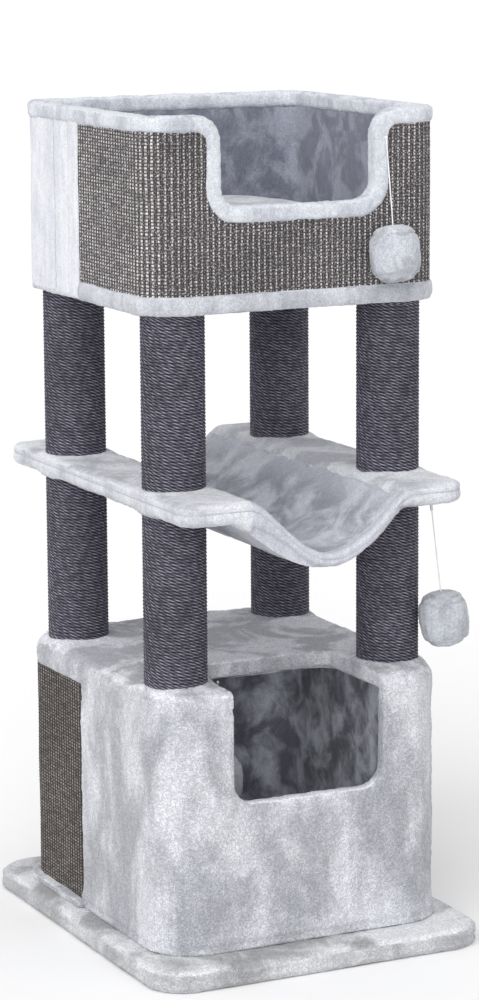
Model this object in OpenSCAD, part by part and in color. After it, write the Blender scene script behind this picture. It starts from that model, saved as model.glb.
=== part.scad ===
// Cat tree: a plush base, a sleeping cave with a cut-away entry, a hammock slung
// between two plush wings, and a bed with a notched wall, carried on eight sisal posts.
// Front is -Y, up is +Z, and the origin is the middle of the base's underside.

/* [Tiers] */
// Height of the cave, from the base's plush to the cave's plush
cave_h = 414; // [360:1:500]
// Length of each sisal post
post_len = 273; // [225:1:400]
// Height of the bed, from its underside to its rim
bed_h = 298; // [245:1:360]

/* [Base] */
// Width of the base, left to right
base_w = 574; // [560:1:700]
// Depth of the base, front to back
base_d = 690; // [630:1:840]
// Corner radius of the base
base_r = 64; // [20:1:120]
// Thickness of the base board
base_board_t = 22; // [16:1:30]
// Width of the plush folded under the base board
base_hem_w = 60; // [30:1:90]

/* [Cave] */
// Width of the cave over its plush
cave_w = 500; // [490:1:520]
// Depth of the cave over its plush
cave_d = 562; // [520:1:590]
// Corner radius of the cave
cave_r = 80; // [50:1:110]
// Width of the entry in the front wall
entry_w = 260; // [160:1:262]
// Height of the entry's sill above the base's plush
entry_sill = 234; // [100:1:260]
// Radius of the entry's lower corners
entry_r = 35; // [10:1:60]
// Width of the slot in the top board, above the entry
slot_w = 250; // [150:1:252]
// Depth of the slot, back from the cave's front
slot_d = 189; // [100:1:220]
// How far the front plush spreads at its foot
cave_flare = 6; // [4:1:20]
// Height over which it spreads
cave_flare_h = 34; // [20:1:120]
// Height of the plush border round the top of the scratching mat
cave_border_h = 19; // [8:1:60]
// Height of the plush roll at the foot of the scratching mat
cave_foot_h = 12; // [6:1:30]
// How far that roll stands out from the cave's plush
cave_foot_out = 14; // [4:1:20]
// Y of the seam between the cave's plush and its scratching mat
cave_seam_y = 43; // [-100:1:120]

/* [Posts] */
// Outer diameter of a post over its rope
post_d = 100; // [84:1:108]
// Thickness of the sisal rope
rope_d = 6; // [4:0.5:8]
// Wall of the cardboard tube
tube_wall = 4; // [3:0.5:6]
// Thickness of the wooden plug in each end of a post
plug_t = 20; // [18:1:30]
// Distance between the posts, left to right
post_dx = 373; // [360:1:378]
// Distance between the posts, front to back
post_dy = 378; // [300:1:400]

/* [Hammock tier] */
// Width of each wing over its plush
wing_w = 116; // [112:1:130]
// Depth of each wing, front to back
wing_d = 690; // [560:1:760]
// Radius of a wing's outer corners
wing_r = 34; // [16:1:55]
// Depth of the hammock below the wings' tops
sling_dip = 92; // [60:1:140]
// Thickness of the padded hammock at its lowest point
sling_t = 22; // [14:1:30]

/* [Bed] */
// Width of the bed over its plush
bed_w = 504; // [490:1:580]
// Depth of the bed over its plush
bed_d = 496; // [490:1:580]
// Corner radius of the bed
bed_r = 55; // [36:1:90]
// Width of the notch in the bed's front wall
notch_w = 264; // [160:1:300]
// Depth of the notch below the bed's rim
notch_depth = 139; // [90:1:160]
// Radius of the notch's lower corners
notch_r = 30; // [10:1:60]
// Radius of the notch's upper corners
notch_flare_r = 38; // [28:1:50]
// Height of the plush trim along the rim and the notch
trim_h = 22; // [14:1:26]
// Height of the plush border under the bed's scratching mat
bed_border_h = 30; // [26:1:50]
// Y of the seams between the bed's scratching mat and its plush
bed_seam_y = 15; // [-100:1:100]
// Thickness of the loose cushion
cushion_t = 95; // [40:1:100]

/* [Boards and covers] */
// Thickness of the top, wing and floor boards
board_t = 18; // [12:1:20]
// Thickness of the bent wall panels
wall_t = 8; // [6:1:12]
// Thickness of the plush covers
plush_t = 8; // [5:1:10]
// Thickness of the woven scratching mats
mat_t = 5; // [3:1:7]
// Thickness of the inner linings
lining_t = 6; // [3:1:8]

/* [Fasteners] */
// Thread diameter of the bolts and studs
bolt_d = 8; // [6:1:10]
// How far a bolt or stud reaches into a post
bolt_reach = 16; // [10:1:18]
// Diameter of the washers under the bolt heads
washer_d = 24; // [18:1:28]

/* [Toys] */
// Diameter of the plush balls at their widest
ball_d = 79; // [60:1:79]
// Height of the plush balls
ball_h = 88; // [60:1:88]
// Diameter of the toys' strings
string_d = 2; // [1.5:0.1:3]
// Diameter of the knot at the top of each string
knot_d = 5; // [4:0.5:7]

/* [Hidden] */
$fn = 96;

PLUSH = [0.80, 0.82, 0.86];
DARK_PLUSH = [0.27, 0.28, 0.31];
LINING = [0.60, 0.62, 0.68];
ROPE = [0.24, 0.24, 0.29];
MAT = [0.36, 0.34, 0.33];
BOARD = [0.80, 0.68, 0.50];
PANEL = [0.85, 0.75, 0.58];
CARD = [0.66, 0.53, 0.38];
STEEL = [0.72, 0.73, 0.75];
STRING = [0.93, 0.93, 0.92];

// Heights of the tiers
hem_t = 4;
base_board_z = hem_t;
base_z = base_board_z + base_board_t + plush_t;
cave_z = base_z + cave_h;
cave_board_z = cave_z - plush_t - board_t;
wing_z = cave_z + post_len;
wing_t = board_t + 2 * plush_t;
upper_z = wing_z + wing_t;
bed_z = upper_z + post_len;
bed_board_z = bed_z + plush_t;
bed_floor_z = bed_board_z + board_t;
rim_z = bed_z + bed_h;
mat_z = bed_z + bed_border_h;

// Walls, measured inwards from each box's outline
cave_front_y = -cave_d / 2;
slot_y = cave_front_y + slot_d;
bed_front_y = -bed_d / 2;
trim_out = 1;
trim_in = plush_t + wall_t + lining_t + 1;
soft_gap = 0.3;
front_zone = 150;
far = 600;

// Fastener clearances and heads
hole_d = bolt_d + 1;
insert_d = bolt_d + 4;
thread_gap = 0.1;
head_d = bolt_d + 5;
head_h = 5;
washer_t = 1.6;
access_d = washer_d + 6;

// Where each toy's string starts, and its drop from there to the ball
rim_hang = [149, bed_front_y - trim_out - 3.4, rim_z - 45];
rim_drop = [
    [0, 0, 0], [-0.2, -2, -10], [-0.4, -4, -20], [-0.6, -6, -30], [-0.8, -8, -40],
    [-1, -10, -50], [-1.2, -12, -60], [-1.4, -14, -70], [-1.6, -16, -80], [-1.8, -18, -90],
    [-2, -20, -100], [-2.2, -22, -110], [-2.4, -24, -120], [-2.5, -25, -125], [-2.6, -26, -130]
];
wing_hang = [post_dx / 2 + 53.6, -post_dy / 2 - 42.7, wing_z - 5.6];
wing_drop = [
    [0, 0, 0], [0.9, -0.7, -10], [1.8, -1.4, -20], [2.7, -2.1, -30], [3.6, -2.8, -40],
    [4.5, -3.5, -50], [5.4, -4.2, -60], [6.3, -4.9, -70], [7.2, -5.6, -80], [8.1, -6.3, -90],
    [9, -7, -100], [9.9, -7.7, -110], [10.8, -8.4, -120], [11.7, -9.1, -130],
    [12.6, -9.8, -140], [13.5, -10.5, -150], [14, -10.9, -155]
];
cave_hang = [-62, slot_y + 12, cave_board_z - lining_t - 5.6];
cave_drop = [
    [0, 0, 0], [0, 0, -8], [0, 0, -16], [0, 0, -24], [0, 0, -32],
    [0, 0, -40], [0, 0, -48], [0, 0, -56], [0, 0, -64], [0, 0, -72],
    [0, 0, -80], [0, 0, -88], [0, 0, -96], [0, 0, -106], [0, 0, -116]
];
function route_from(hang, drop) = [for (p = drop) hang + p];
rim_toy_route = route_from(rim_hang, rim_drop);
wing_toy_route = route_from(wing_hang, wing_drop);
cave_toy_route = route_from(cave_hang, cave_drop);
string_sides = 8;

// ---- Shapes ----

// Rectangle with round corners, centred on the origin
module round_rect(w, d, r) {
    square([w - 2 * r, d], center = true);
    square([w, d - 2 * r], center = true);
    for (sx = [-1, 1], sy = [-1, 1])
        translate([sx * (w / 2 - r), sy * (d / 2 - r)])
            circle(r);
}

// Slab whose outline is inset from w by d by the given amount
module slab(w, d, r, inset, z0, z1) {
    translate([0, 0, z0])
        linear_extrude(z1 - z0)
            round_rect(w - 2 * inset, d - 2 * inset, r - inset);
}

// Upright wall between two insets of the same outline
module wall(w, d, r, outer, inner, z0, z1) {
    translate([0, 0, z0])
        linear_extrude(z1 - z0)
            difference() {
                round_rect(w - 2 * outer, d - 2 * outer, r - outer);
                round_rect(w - 2 * inner, d - 2 * inner, r - inner);
            }
}

// Solid skirt that spreads from the outline towards its foot
module flare(w, d, r, out, z0, z1) {
    hull()
        for (sx = [-1, 1], sy = [-1, 1])
            translate([sx * (w / 2 - r), sy * (d / 2 - r), z0])
                cylinder(h = z1 - z0, r1 = r + out, r2 = r);
}

// Everything in front of a seam, and everything behind it
module front_of(y) {
    intersection() {
        union()
            children();
        translate([-far, y - 2 * far, 0])
            cube([2 * far, 2 * far, 4 * far]);
    }
}
module behind(y) {
    intersection() {
        union()
            children();
        translate([-far, y, 0])
            cube([2 * far, 2 * far, 4 * far]);
    }
}

// Opening cut down from a top edge, with round lower corners and flared upper ones
module opening_2d(w, sill, top, r, flare) {
    translate([-w / 2, sill + r])
        square([w, top - sill - r + 1]);
    translate([-w / 2 + r, sill])
        square([w - 2 * r, r + 1]);
    for (side = [-1, 1]) {
        translate([side * (w / 2 - r), sill + r])
            circle(r);
        difference() {
            translate([side * (w / 2 + flare / 2), top - flare / 2 + 0.5])
                square([flare + 1, flare + 1], center = true);
            translate([side * (w / 2 + flare), top - flare])
                circle(flare);
            translate([side * (w / 2 + flare), top - 1.5 * flare])
                square([2 * flare, flare], center = true);
        }
    }
}

// The same opening as a cutter through the front wall
module front_cut(w, sill, top, r, flare) {
    translate([0, -front_zone, 0])
        rotate([90, 0, 0])
            linear_extrude(far)
                opening_2d(w, sill, top, r, flare);
}

// The entry of the cave and the notch of the bed, each grown by a margin
module entry_cut(margin) {
    front_cut(entry_w + 2 * margin, base_z + entry_sill - margin, cave_z,
              entry_r + margin, 1);
}
module notch_cut(margin) {
    front_cut(notch_w + 2 * margin, rim_z - notch_depth - margin, rim_z - margin,
              notch_r + margin, notch_flare_r - margin);
}

// The slot in the cave's top, grown by a margin
module slot_cut(margin) {
    r = 14 + margin;
    w = slot_w + 2 * margin;
    translate([0, 0, cave_board_z - far / 2])
        linear_extrude(far) {
            translate([-w / 2, cave_front_y - 10])
                square([w, slot_d + margin - r + 10]);
            translate([-w / 2 + r, cave_front_y])
                square([w - 2 * r, slot_d + margin]);
            for (side = [-1, 1])
                translate([side * (w / 2 - r), slot_y + margin - r])
                    circle(r);
        }
}

// Places children on all four post axes
module at_posts() {
    for (sx = [-1, 1], sy = [-1, 1])
        translate([sx * post_dx / 2, sy * post_dy / 2, 0])
            children();
}

// Round holes on all four post axes
module post_holes(d, z0, z1) {
    at_posts()
        translate([0, 0, z0])
            cylinder(h = z1 - z0, d = d);
}

function cross3(a, b) = [a[1] * b[2] - a[2] * b[1], a[2] * b[0] - a[0] * b[2], a[0] * b[1] - a[1] * b[0]];
function unit(v) = v / norm(v);
function tangent(p, i) = unit(p[min(i + 1, len(p) - 1)] - p[max(i - 1, 0)]);
function side_of(t) = unit(cross3(t, [1, 0, 0]));
function ring_point(p, i, d, a) =
    let (t = tangent(p, i), s = side_of(t), u = cross3(t, s))
    p[i] + d / 2 * (cos(a) * s + sin(a) * u);

// Round cord swept along a route
module cord(route, d) {
    n = len(route);
    points = [for (i = [0:n - 1], k = [0:string_sides - 1]) ring_point(route, i, d, 360 * k / string_sides)];
    sides = [for (i = [0:n - 2], k = [0:string_sides - 1])
        let (a = i * string_sides + k, b = i * string_sides + (k + 1) % string_sides)
        [a, b, b + string_sides, a + string_sides]];
    first = [for (k = [string_sides - 1:-1:0]) k];
    last = [for (k = [0:string_sides - 1]) (n - 1) * string_sides + k];
    polyhedron(points, concat(sides, [first, last]), convexity = 4);
}

// ---- Base ----

module base_board() {
    color(BOARD)
        slab(base_w, base_d, base_r, plush_t, base_board_z, base_board_z + base_board_t);
}

module base_plush() {
    color(PLUSH)
        difference() {
            slab(base_w, base_d, base_r, 0, 0, base_z);
            slab(base_w, base_d, base_r, plush_t, base_board_z, base_board_z + base_board_t);
            slab(base_w, base_d, base_r + base_hem_w, base_hem_w, -1, base_board_z + 1);
        }
}

// ---- Cave ----

module cave_panel() {
    wall(cave_w, cave_d, cave_r, plush_t, plush_t + wall_t, base_z, cave_board_z);
}

module cave_wall_front() {
    color(PANEL)
        difference() {
            front_of(cave_seam_y)
                cave_panel();
            entry_cut(plush_t);
        }
}

module cave_wall_back() {
    color(PANEL)
        behind(cave_seam_y)
            cave_panel();
}

module cave_top_slab() {
    difference() {
        slab(cave_w, cave_d, cave_r, plush_t, cave_board_z, cave_board_z + board_t);
        slot_cut(plush_t);
    }
}

module cave_top_board() {
    color(BOARD)
        difference() {
            cave_top_slab();
            post_holes(hole_d, cave_board_z - 1, cave_z);
        }
}

module cave_top_plush() {
    color(PLUSH) {
        difference() {
            slab(cave_w, cave_d, cave_r, 0, cave_board_z, cave_z);
            cave_top_slab();
            slot_cut(0);
            post_holes(hole_d, cave_board_z, cave_z + 1);
        }
        behind(cave_seam_y)
            wall(cave_w, cave_d, cave_r, 0, plush_t, cave_board_z - cave_border_h, cave_board_z);
    }
}

module cave_front_plush() {
    lip_back_y = cave_front_y + plush_t + wall_t + lining_t;
    color(PLUSH) {
        difference() {
            front_of(cave_seam_y) {
                wall(cave_w, cave_d, cave_r, 0, plush_t, base_z, cave_board_z);
                flare(cave_w, cave_d, cave_r, cave_flare, base_z, base_z + cave_flare_h);
            }
            slab(cave_w, cave_d, cave_r, plush_t, base_z - 1, base_z + cave_flare_h + 1);
            entry_cut(0);
        }
        intersection() {
            difference() {
                entry_cut(plush_t);
                entry_cut(0);
            }
            translate([-far, cave_front_y + plush_t, base_z])
                cube([2 * far, lip_back_y - cave_front_y - plush_t, cave_board_z - base_z]);
        }
    }
}

module cave_back_mat() {
    color(MAT)
        behind(cave_seam_y)
            wall(cave_w, cave_d, cave_r, plush_t - mat_t, plush_t,
                 base_z + cave_foot_h, cave_board_z - cave_border_h);
}

module cave_foot_trim() {
    color(PLUSH)
        behind(cave_seam_y)
            wall(cave_w, cave_d, cave_r, -cave_foot_out, plush_t, base_z, base_z + cave_foot_h);
}

module cave_lining() {
    color(DARK_PLUSH)
        difference() {
            wall(cave_w, cave_d, cave_r, plush_t + wall_t, plush_t + wall_t + lining_t,
                 base_z + lining_t, cave_board_z - lining_t);
            entry_cut(plush_t);
        }
}

module cave_roof_lining() {
    color(DARK_PLUSH)
        difference() {
            slab(cave_w, cave_d, cave_r, plush_t + wall_t, cave_board_z - lining_t, cave_board_z);
            slot_cut(plush_t);
            entry_cut(plush_t);
            post_holes(access_d, cave_board_z - lining_t - 1, cave_board_z + 1);
        }
}

module cave_floor_pad() {
    color(DARK_PLUSH)
        slab(cave_w, cave_d, cave_r, plush_t + wall_t, base_z, base_z + lining_t);
}

// ---- Posts ----

module post_tube(z, sx, sy) {
    color(CARD)
        translate([sx * post_dx / 2, sy * post_dy / 2, z])
            difference() {
                cylinder(h = post_len, d = post_d - 2 * rope_d);
                translate([0, 0, -1])
                    cylinder(h = post_len + 2, d = post_d - 2 * rope_d - 2 * tube_wall);
            }
}

module post_rope(z, sx, sy) {
    color(ROPE)
        translate([sx * post_dx / 2, sy * post_dy / 2, z])
            difference() {
                cylinder(h = post_len, d = post_d);
                translate([0, 0, -1])
                    cylinder(h = post_len + 2, d = post_d - 2 * rope_d);
            }
}

// Places children at both ends of every post, turned to face out of the post
module at_post_ends() {
    for (z = [cave_z, upper_z])
        at_posts() {
            translate([0, 0, z])
                children();
            translate([0, 0, z + post_len])
                rotate([180, 0, 0])
                    children();
        }
}

module post_plugs() {
    color(BOARD)
        at_post_ends()
            difference() {
                cylinder(h = plug_t, d = post_d - 2 * rope_d - 2 * tube_wall);
                translate([0, 0, -1])
                    cylinder(h = plug_t + 2, d = insert_d);
            }
}

module post_inserts() {
    color(STEEL)
        at_post_ends()
            difference() {
                cylinder(h = plug_t, d = insert_d);
                translate([0, 0, -1])
                    cylinder(h = plug_t + 2, d = bolt_d + 2 * thread_gap);
            }
}

// Bolts up into the lower posts from the cave, and down into the upper posts from the bed
module at_bolt_seats() {
    at_posts()
        translate([0, 0, cave_board_z])
            children();
    at_posts()
        translate([0, 0, bed_floor_z])
            rotate([180, 0, 0])
                children();
}

module post_bolts() {
    shank = board_t + plush_t + bolt_reach;
    color(STEEL)
        at_bolt_seats() {
            translate([0, 0, -washer_t])
                cylinder(h = shank + washer_t, d = bolt_d);
            translate([0, 0, -washer_t - head_h])
                cylinder(h = head_h, d = head_d);
        }
}

module post_washers() {
    color(STEEL)
        at_bolt_seats()
            translate([0, 0, -washer_t])
                difference() {
                    cylinder(h = washer_t, d = washer_d);
                    translate([0, 0, -1])
                        cylinder(h = washer_t + 2, d = bolt_d + 2 * thread_gap);
                }
}

module tier_studs() {
    color(STEEL)
        at_posts()
            translate([0, 0, wing_z - bolt_reach])
                cylinder(h = wing_t + 2 * bolt_reach, d = bolt_d);
}

// ---- Hammock tier ----

// Outline of a wing: round outer corners and a straight inner edge for the hammock
module wing_2d(side, inset) {
    round_rect(wing_w - 2 * inset, wing_d - 2 * inset, wing_r - inset);
    translate([-side * (wing_w / 4 - inset / 2), 0])
        square([wing_w / 2 - inset, wing_d - 2 * inset], center = true);
}

module wing_slab(side, inset, z0, z1) {
    translate([side * post_dx / 2, 0, z0])
        linear_extrude(z1 - z0)
            wing_2d(side, inset);
}

module wing_board(side) {
    color(BOARD)
        difference() {
            wing_slab(side, plush_t, wing_z + plush_t, wing_z + plush_t + board_t);
            post_holes(hole_d, wing_z, upper_z);
        }
}

module wing_sleeve(side) {
    color(PLUSH)
        difference() {
            wing_slab(side, 0, wing_z, upper_z);
            wing_slab(side, plush_t, wing_z + plush_t, wing_z + plush_t + board_t);
            post_holes(hole_d, wing_z - 1, upper_z + 1);
        }
}

// Hanging curves of the hammock, lowest a little right of centre: height of each face at x.
// The lower cloth leaves the wings' undersides, so the hammock is thickest beside them.
sling_half = post_dx / 2 - wing_w / 2;
sling_low_x = 6;
sling_left = sling_half + 9.5;
sling_right = sling_half + 4.5;
sling_step = 1 / 32;
under_low_x = 2;
under_left = sling_half + 21.5;
under_right = sling_half - under_low_x;
function sag(x, x0, left, right, pow_l, pow_r) =
    let (a = x < x0 ? (x0 - x) / left : (x - x0) / right)
    pow(max(0, cos(90 * min(1, a))), x < x0 ? pow_l : pow_r);
function sling_z(x) = upper_z - sling_dip * sag(x, sling_low_x, sling_left, sling_right, 1.55, 1);
function under_z(x) = wing_z - (sling_dip + sling_t - wing_t) * sag(x, under_low_x, under_left, under_right, 1, 0.8);

module hammock_sling() {
    upper = [for (u = [-1:2 * sling_step:1]) [u * sling_half, sling_z(u * sling_half)]];
    under = [for (u = [1:-2 * sling_step:-1]) [u * sling_half, under_z(u * sling_half)]];
    color(PLUSH)
        translate([0, wing_d / 2, 0])
            rotate([90, 0, 0])
                linear_extrude(wing_d)
                    polygon(concat(upper, under));
}

// ---- Bed ----

module bed_panel() {
    wall(bed_w, bed_d, bed_r, plush_t, plush_t + wall_t, bed_floor_z, rim_z - plush_t);
}

module bed_floor_board() {
    color(BOARD)
        difference() {
            slab(bed_w, bed_d, bed_r, plush_t, bed_board_z, bed_floor_z);
            post_holes(hole_d, bed_board_z - 1, bed_floor_z + 1);
        }
}

module bed_floor_plush() {
    color(PLUSH)
        difference() {
            union() {
                slab(bed_w, bed_d, bed_r, -trim_out, bed_z, bed_board_z);
                front_of(bed_seam_y)
                    wall(bed_w, bed_d, bed_r, -trim_out, plush_t, bed_board_z, mat_z);
            }
            post_holes(hole_d, bed_z - 1, bed_board_z + 1);
        }
}

module bed_wall_front() {
    color(PANEL)
        difference() {
            front_of(bed_seam_y)
                bed_panel();
            notch_cut(plush_t);
        }
}

module bed_wall_back() {
    color(PANEL)
        behind(bed_seam_y)
            bed_panel();
}

module bed_front_mat() {
    color(MAT)
        difference() {
            front_of(bed_seam_y)
                wall(bed_w, bed_d, bed_r, plush_t - mat_t, plush_t, mat_z, rim_z - trim_h);
            notch_cut(trim_h);
        }
}

module bed_back_plush() {
    color(PLUSH)
        behind(bed_seam_y)
            wall(bed_w, bed_d, bed_r, 0, plush_t, bed_board_z, rim_z - trim_h);
}

module bed_rim_trim() {
    color(PLUSH)
        difference() {
            union() {
                wall(bed_w, bed_d, bed_r, -trim_out, trim_in, rim_z - trim_h, rim_z);
                intersection() {
                    wall(bed_w, bed_d, bed_r, -trim_out, trim_in, mat_z, rim_z);
                    notch_cut(trim_h);
                }
            }
            notch_cut(0);
            difference() {
                bed_panel();
                notch_cut(plush_t);
            }
        }
}

module bed_lining() {
    color(LINING)
        difference() {
            wall(bed_w, bed_d, bed_r, plush_t + wall_t, plush_t + wall_t + lining_t,
                 bed_floor_z, rim_z - trim_h);
            notch_cut(trim_h);
        }
}

module bed_floor_pad() {
    color(LINING)
        difference() {
            slab(bed_w, bed_d, bed_r, plush_t + wall_t + lining_t, bed_floor_z, bed_floor_z + plush_t);
            post_holes(access_d, bed_floor_z - 1, bed_floor_z + plush_t + 1);
        }
}

module bed_cushion() {
    color(PLUSH)
        slab(bed_w, bed_d, bed_r, plush_t + wall_t + lining_t + 8,
             bed_floor_z + plush_t + soft_gap, bed_floor_z + plush_t + cushion_t);
}

// ---- Toys ----

function route_end(route) = route[len(route) - 1];
function ball_centre(route) =
    route_end(route) + (ball_h / 2 - 0.5) * tangent(route, len(route) - 1);
function knot_centre(route) =
    route[0] - (knot_d / 2 + soft_gap) * tangent(route, 0);

module toy_knot(route) {
    color(STRING)
        translate(knot_centre(route))
            sphere(d = knot_d);
}

module toy_string(route) {
    color(STRING)
        cord(route, string_d);
}

// Barrel-shaped plush ball, hanging in line with its string
ball_steps = 14;
function ball_radius(u) = ball_d / 2 * pow(1 - pow(abs(u), 3), 1 / 3);
module toy_ball(route, tint) {
    t = tangent(route, len(route) - 1);
    profile = [for (i = [0:ball_steps])
        let (u = sin(-90 + 180 * i / ball_steps)) [ball_radius(u), u * ball_h / 2]];
    color(tint)
        translate(ball_centre(route))
            rotate([0, 180 - acos(t[2]), atan2(t[1], t[0]) + 180])
                rotate_extrude()
                    polygon(profile);
}

// ---- Nodes ----

base_board();
base_plush();
cave_wall_front();
cave_wall_back();
cave_top_board();
cave_top_plush();
cave_front_plush();
cave_back_mat();
cave_foot_trim();
cave_lining();
cave_roof_lining();
cave_floor_pad();
post_tube(cave_z, -1, -1);  // lower_tube_fl
post_tube(cave_z, 1, -1);  // lower_tube_fr
post_tube(cave_z, -1, 1);  // lower_tube_bl
post_tube(cave_z, 1, 1);  // lower_tube_br
post_rope(cave_z, -1, -1);  // lower_rope_fl
post_rope(cave_z, 1, -1);  // lower_rope_fr
post_rope(cave_z, -1, 1);  // lower_rope_bl
post_rope(cave_z, 1, 1);  // lower_rope_br
post_tube(upper_z, -1, -1);  // upper_tube_fl
post_tube(upper_z, 1, -1);  // upper_tube_fr
post_tube(upper_z, -1, 1);  // upper_tube_bl
post_tube(upper_z, 1, 1);  // upper_tube_br
post_rope(upper_z, -1, -1);  // upper_rope_fl
post_rope(upper_z, 1, -1);  // upper_rope_fr
post_rope(upper_z, -1, 1);  // upper_rope_bl
post_rope(upper_z, 1, 1);  // upper_rope_br
post_plugs();
post_inserts();
post_bolts();
post_washers();
tier_studs();
wing_board(-1);  // wing_board_left
wing_board(1);  // wing_board_right
wing_sleeve(-1);  // wing_sleeve_left
wing_sleeve(1);  // wing_sleeve_right
hammock_sling();
bed_floor_board();
bed_floor_plush();
bed_wall_front();
bed_wall_back();
bed_front_mat();
bed_back_plush();
bed_rim_trim();
bed_lining();
bed_floor_pad();
bed_cushion();
toy_knot(rim_toy_route);  // rim_toy_knot
toy_string(rim_toy_route);  // rim_toy_string
toy_ball(rim_toy_route, PLUSH);  // rim_toy_ball
toy_knot(wing_toy_route);  // wing_toy_knot
toy_string(wing_toy_route);  // wing_toy_string
toy_ball(wing_toy_route, PLUSH);  // wing_toy_ball
toy_knot(cave_toy_route);  // cave_toy_knot
toy_string(cave_toy_route);  // cave_toy_string
toy_ball(cave_toy_route, DARK_PLUSH);  // cave_toy_ball
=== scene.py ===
"""Looks of a cat tree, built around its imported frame.

Lengths are in metres, in the frame's own axes: the front is -Y and up is +Z. Only the
numbers of a Pile, a Line and a Fade, which are small throughout, are in millimetres.
"""

import logging
import math
from dataclasses import dataclass
from enum import Enum
from functools import lru_cache
from typing import Callable, Sequence

import bmesh
import bpy
import numpy as np
from mathutils import Matrix, Vector, noise
from mathutils.bvhtree import BVHTree


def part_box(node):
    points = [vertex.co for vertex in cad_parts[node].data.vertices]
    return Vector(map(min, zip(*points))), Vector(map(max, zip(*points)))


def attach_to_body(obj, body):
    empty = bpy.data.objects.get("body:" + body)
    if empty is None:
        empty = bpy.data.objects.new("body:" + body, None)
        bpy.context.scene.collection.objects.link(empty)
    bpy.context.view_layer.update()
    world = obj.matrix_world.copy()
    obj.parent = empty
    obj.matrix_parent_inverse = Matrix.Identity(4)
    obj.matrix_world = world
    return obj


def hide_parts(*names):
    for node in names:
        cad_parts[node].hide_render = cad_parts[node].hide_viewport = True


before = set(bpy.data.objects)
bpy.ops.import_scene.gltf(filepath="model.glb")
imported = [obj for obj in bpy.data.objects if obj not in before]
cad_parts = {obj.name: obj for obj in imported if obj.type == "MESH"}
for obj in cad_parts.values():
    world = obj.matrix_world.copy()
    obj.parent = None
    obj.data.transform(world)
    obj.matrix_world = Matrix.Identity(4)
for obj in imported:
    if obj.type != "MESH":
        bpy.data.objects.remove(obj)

logging.basicConfig(level=logging.INFO, format="%(message)s")
LOG = logging.getLogger("cat_tree")

TREE = "tree"
MM = 0.001
SAME = 0.001 * MM
MAT_INSET = 3 * MM
MAT_OVERLAP = 2 * MM

Piece = bpy.types.Object
Socket = bpy.types.NodeSocket
Triple = tuple[float, float, float]
Move = Callable[[Vector, Vector], Vector]
Level = Callable[[Vector, Vector], float]


# ---- Frame helpers ----


@lru_cache(maxsize=None)
def low(node: str) -> Vector:
    """Lowest corner of a frame node."""
    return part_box(node)[0]


@lru_cache(maxsize=None)
def high(node: str) -> Vector:
    """Highest corner of a frame node."""
    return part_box(node)[1]


# ---- Mesh helpers ----


def new_object(name: str, data: bpy.types.ID) -> Piece:
    """Makes an object of some data and links it to the scene."""
    obj = bpy.data.objects.new(name, data)
    bpy.context.scene.collection.objects.link(obj)
    return obj


def to_object(bm: bmesh.types.BMesh, name: str, outward: bool = True) -> Piece:
    """Turns a bmesh into a linked object and frees it.

    Args:
        bm: The finished bmesh.
        name: Name of the new piece.
        outward: Whether its faces are turned outwards first.
    Returns:
        The new object, at the origin.
    """
    if outward:
        bmesh.ops.recalc_face_normals(bm, faces=bm.faces[:])
    mesh = bpy.data.meshes.new(name)
    bm.to_mesh(mesh)
    bm.free()
    return new_object(name, mesh)


def smooth(obj: Piece, crease: float | None = None) -> Piece:
    """Shades an object smoothly, but for edges sharper than a crease in degrees."""
    obj.data.polygons.foreach_set("use_smooth", [True] * len(obj.data.polygons))
    if crease is not None:
        obj.data.set_sharp_from_angle(angle=math.radians(crease))
    return obj


def bake(obj: Piece) -> Piece:
    """Applies an object's modifiers to its mesh.

    Args:
        obj: The object whose modifiers are applied.
    Returns:
        The same object.
    """
    graph = bpy.context.evaluated_depsgraph_get()
    mesh = bpy.data.meshes.new_from_object(obj.evaluated_get(graph))
    old = obj.data
    obj.modifiers.clear()
    obj.data = mesh
    bpy.data.meshes.remove(old)
    return obj


def carve(obj: Piece, cutter: Piece) -> Piece:
    """Cuts one closed solid with another.

    Args:
        obj: The solid that is cut.
        cutter: The solid that cuts it, removed afterwards.
    Returns:
        The cut solid.
    """
    cut = obj.modifiers.new("cut", "BOOLEAN")
    cut.operation = "DIFFERENCE"
    cut.solver = "EXACT"
    cut.object = cutter
    bake(obj)
    drop(cutter)
    return obj


def drop(obj: Piece) -> None:
    """Removes an object and its mesh."""
    mesh = obj.data
    bpy.data.objects.remove(obj)
    bpy.data.meshes.remove(mesh)


def merge(name: str, parts: Sequence[Piece]) -> Piece:
    """Joins several solids into one object.

    Args:
        name: Name of the joined object.
        parts: The solids, removed afterwards.
    Returns:
        The joined object.
    """
    bm = bmesh.new()
    for part in parts:
        bm.from_mesh(part.data)
        drop(part)
    return to_object(bm, name, outward=False)


def soften(obj: Piece, voxel: float, passes: int) -> Piece:
    """Remeshes a solid evenly and rounds its edges.

    Args:
        obj: The closed solid.
        voxel: Size of the new faces.
        passes: Smoothing passes; more passes round the edges further.
    Returns:
        The same object.
    """
    remesh = obj.modifiers.new("remesh", "REMESH")
    remesh.mode = "VOXEL"
    remesh.voxel_size = voxel
    remesh.adaptivity = 0.0
    even = obj.modifiers.new("smooth", "SMOOTH")
    even.iterations = passes
    even.factor = 0.5
    return smooth(bake(obj))


def move_points(obj: Piece, shift: Move) -> Piece:
    """Moves every point of a mesh by a function of its place and normal.

    Args:
        obj: The object that is changed.
        shift: Gives the move from a point and its normal.
    Returns:
        The same object.
    """
    mesh = obj.data
    normals = [v.normal.copy() for v in mesh.vertices]
    for vertex, normal in zip(mesh.vertices, normals):
        vertex.co = vertex.co + shift(vertex.co, normal)
    mesh.update()
    return obj


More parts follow.
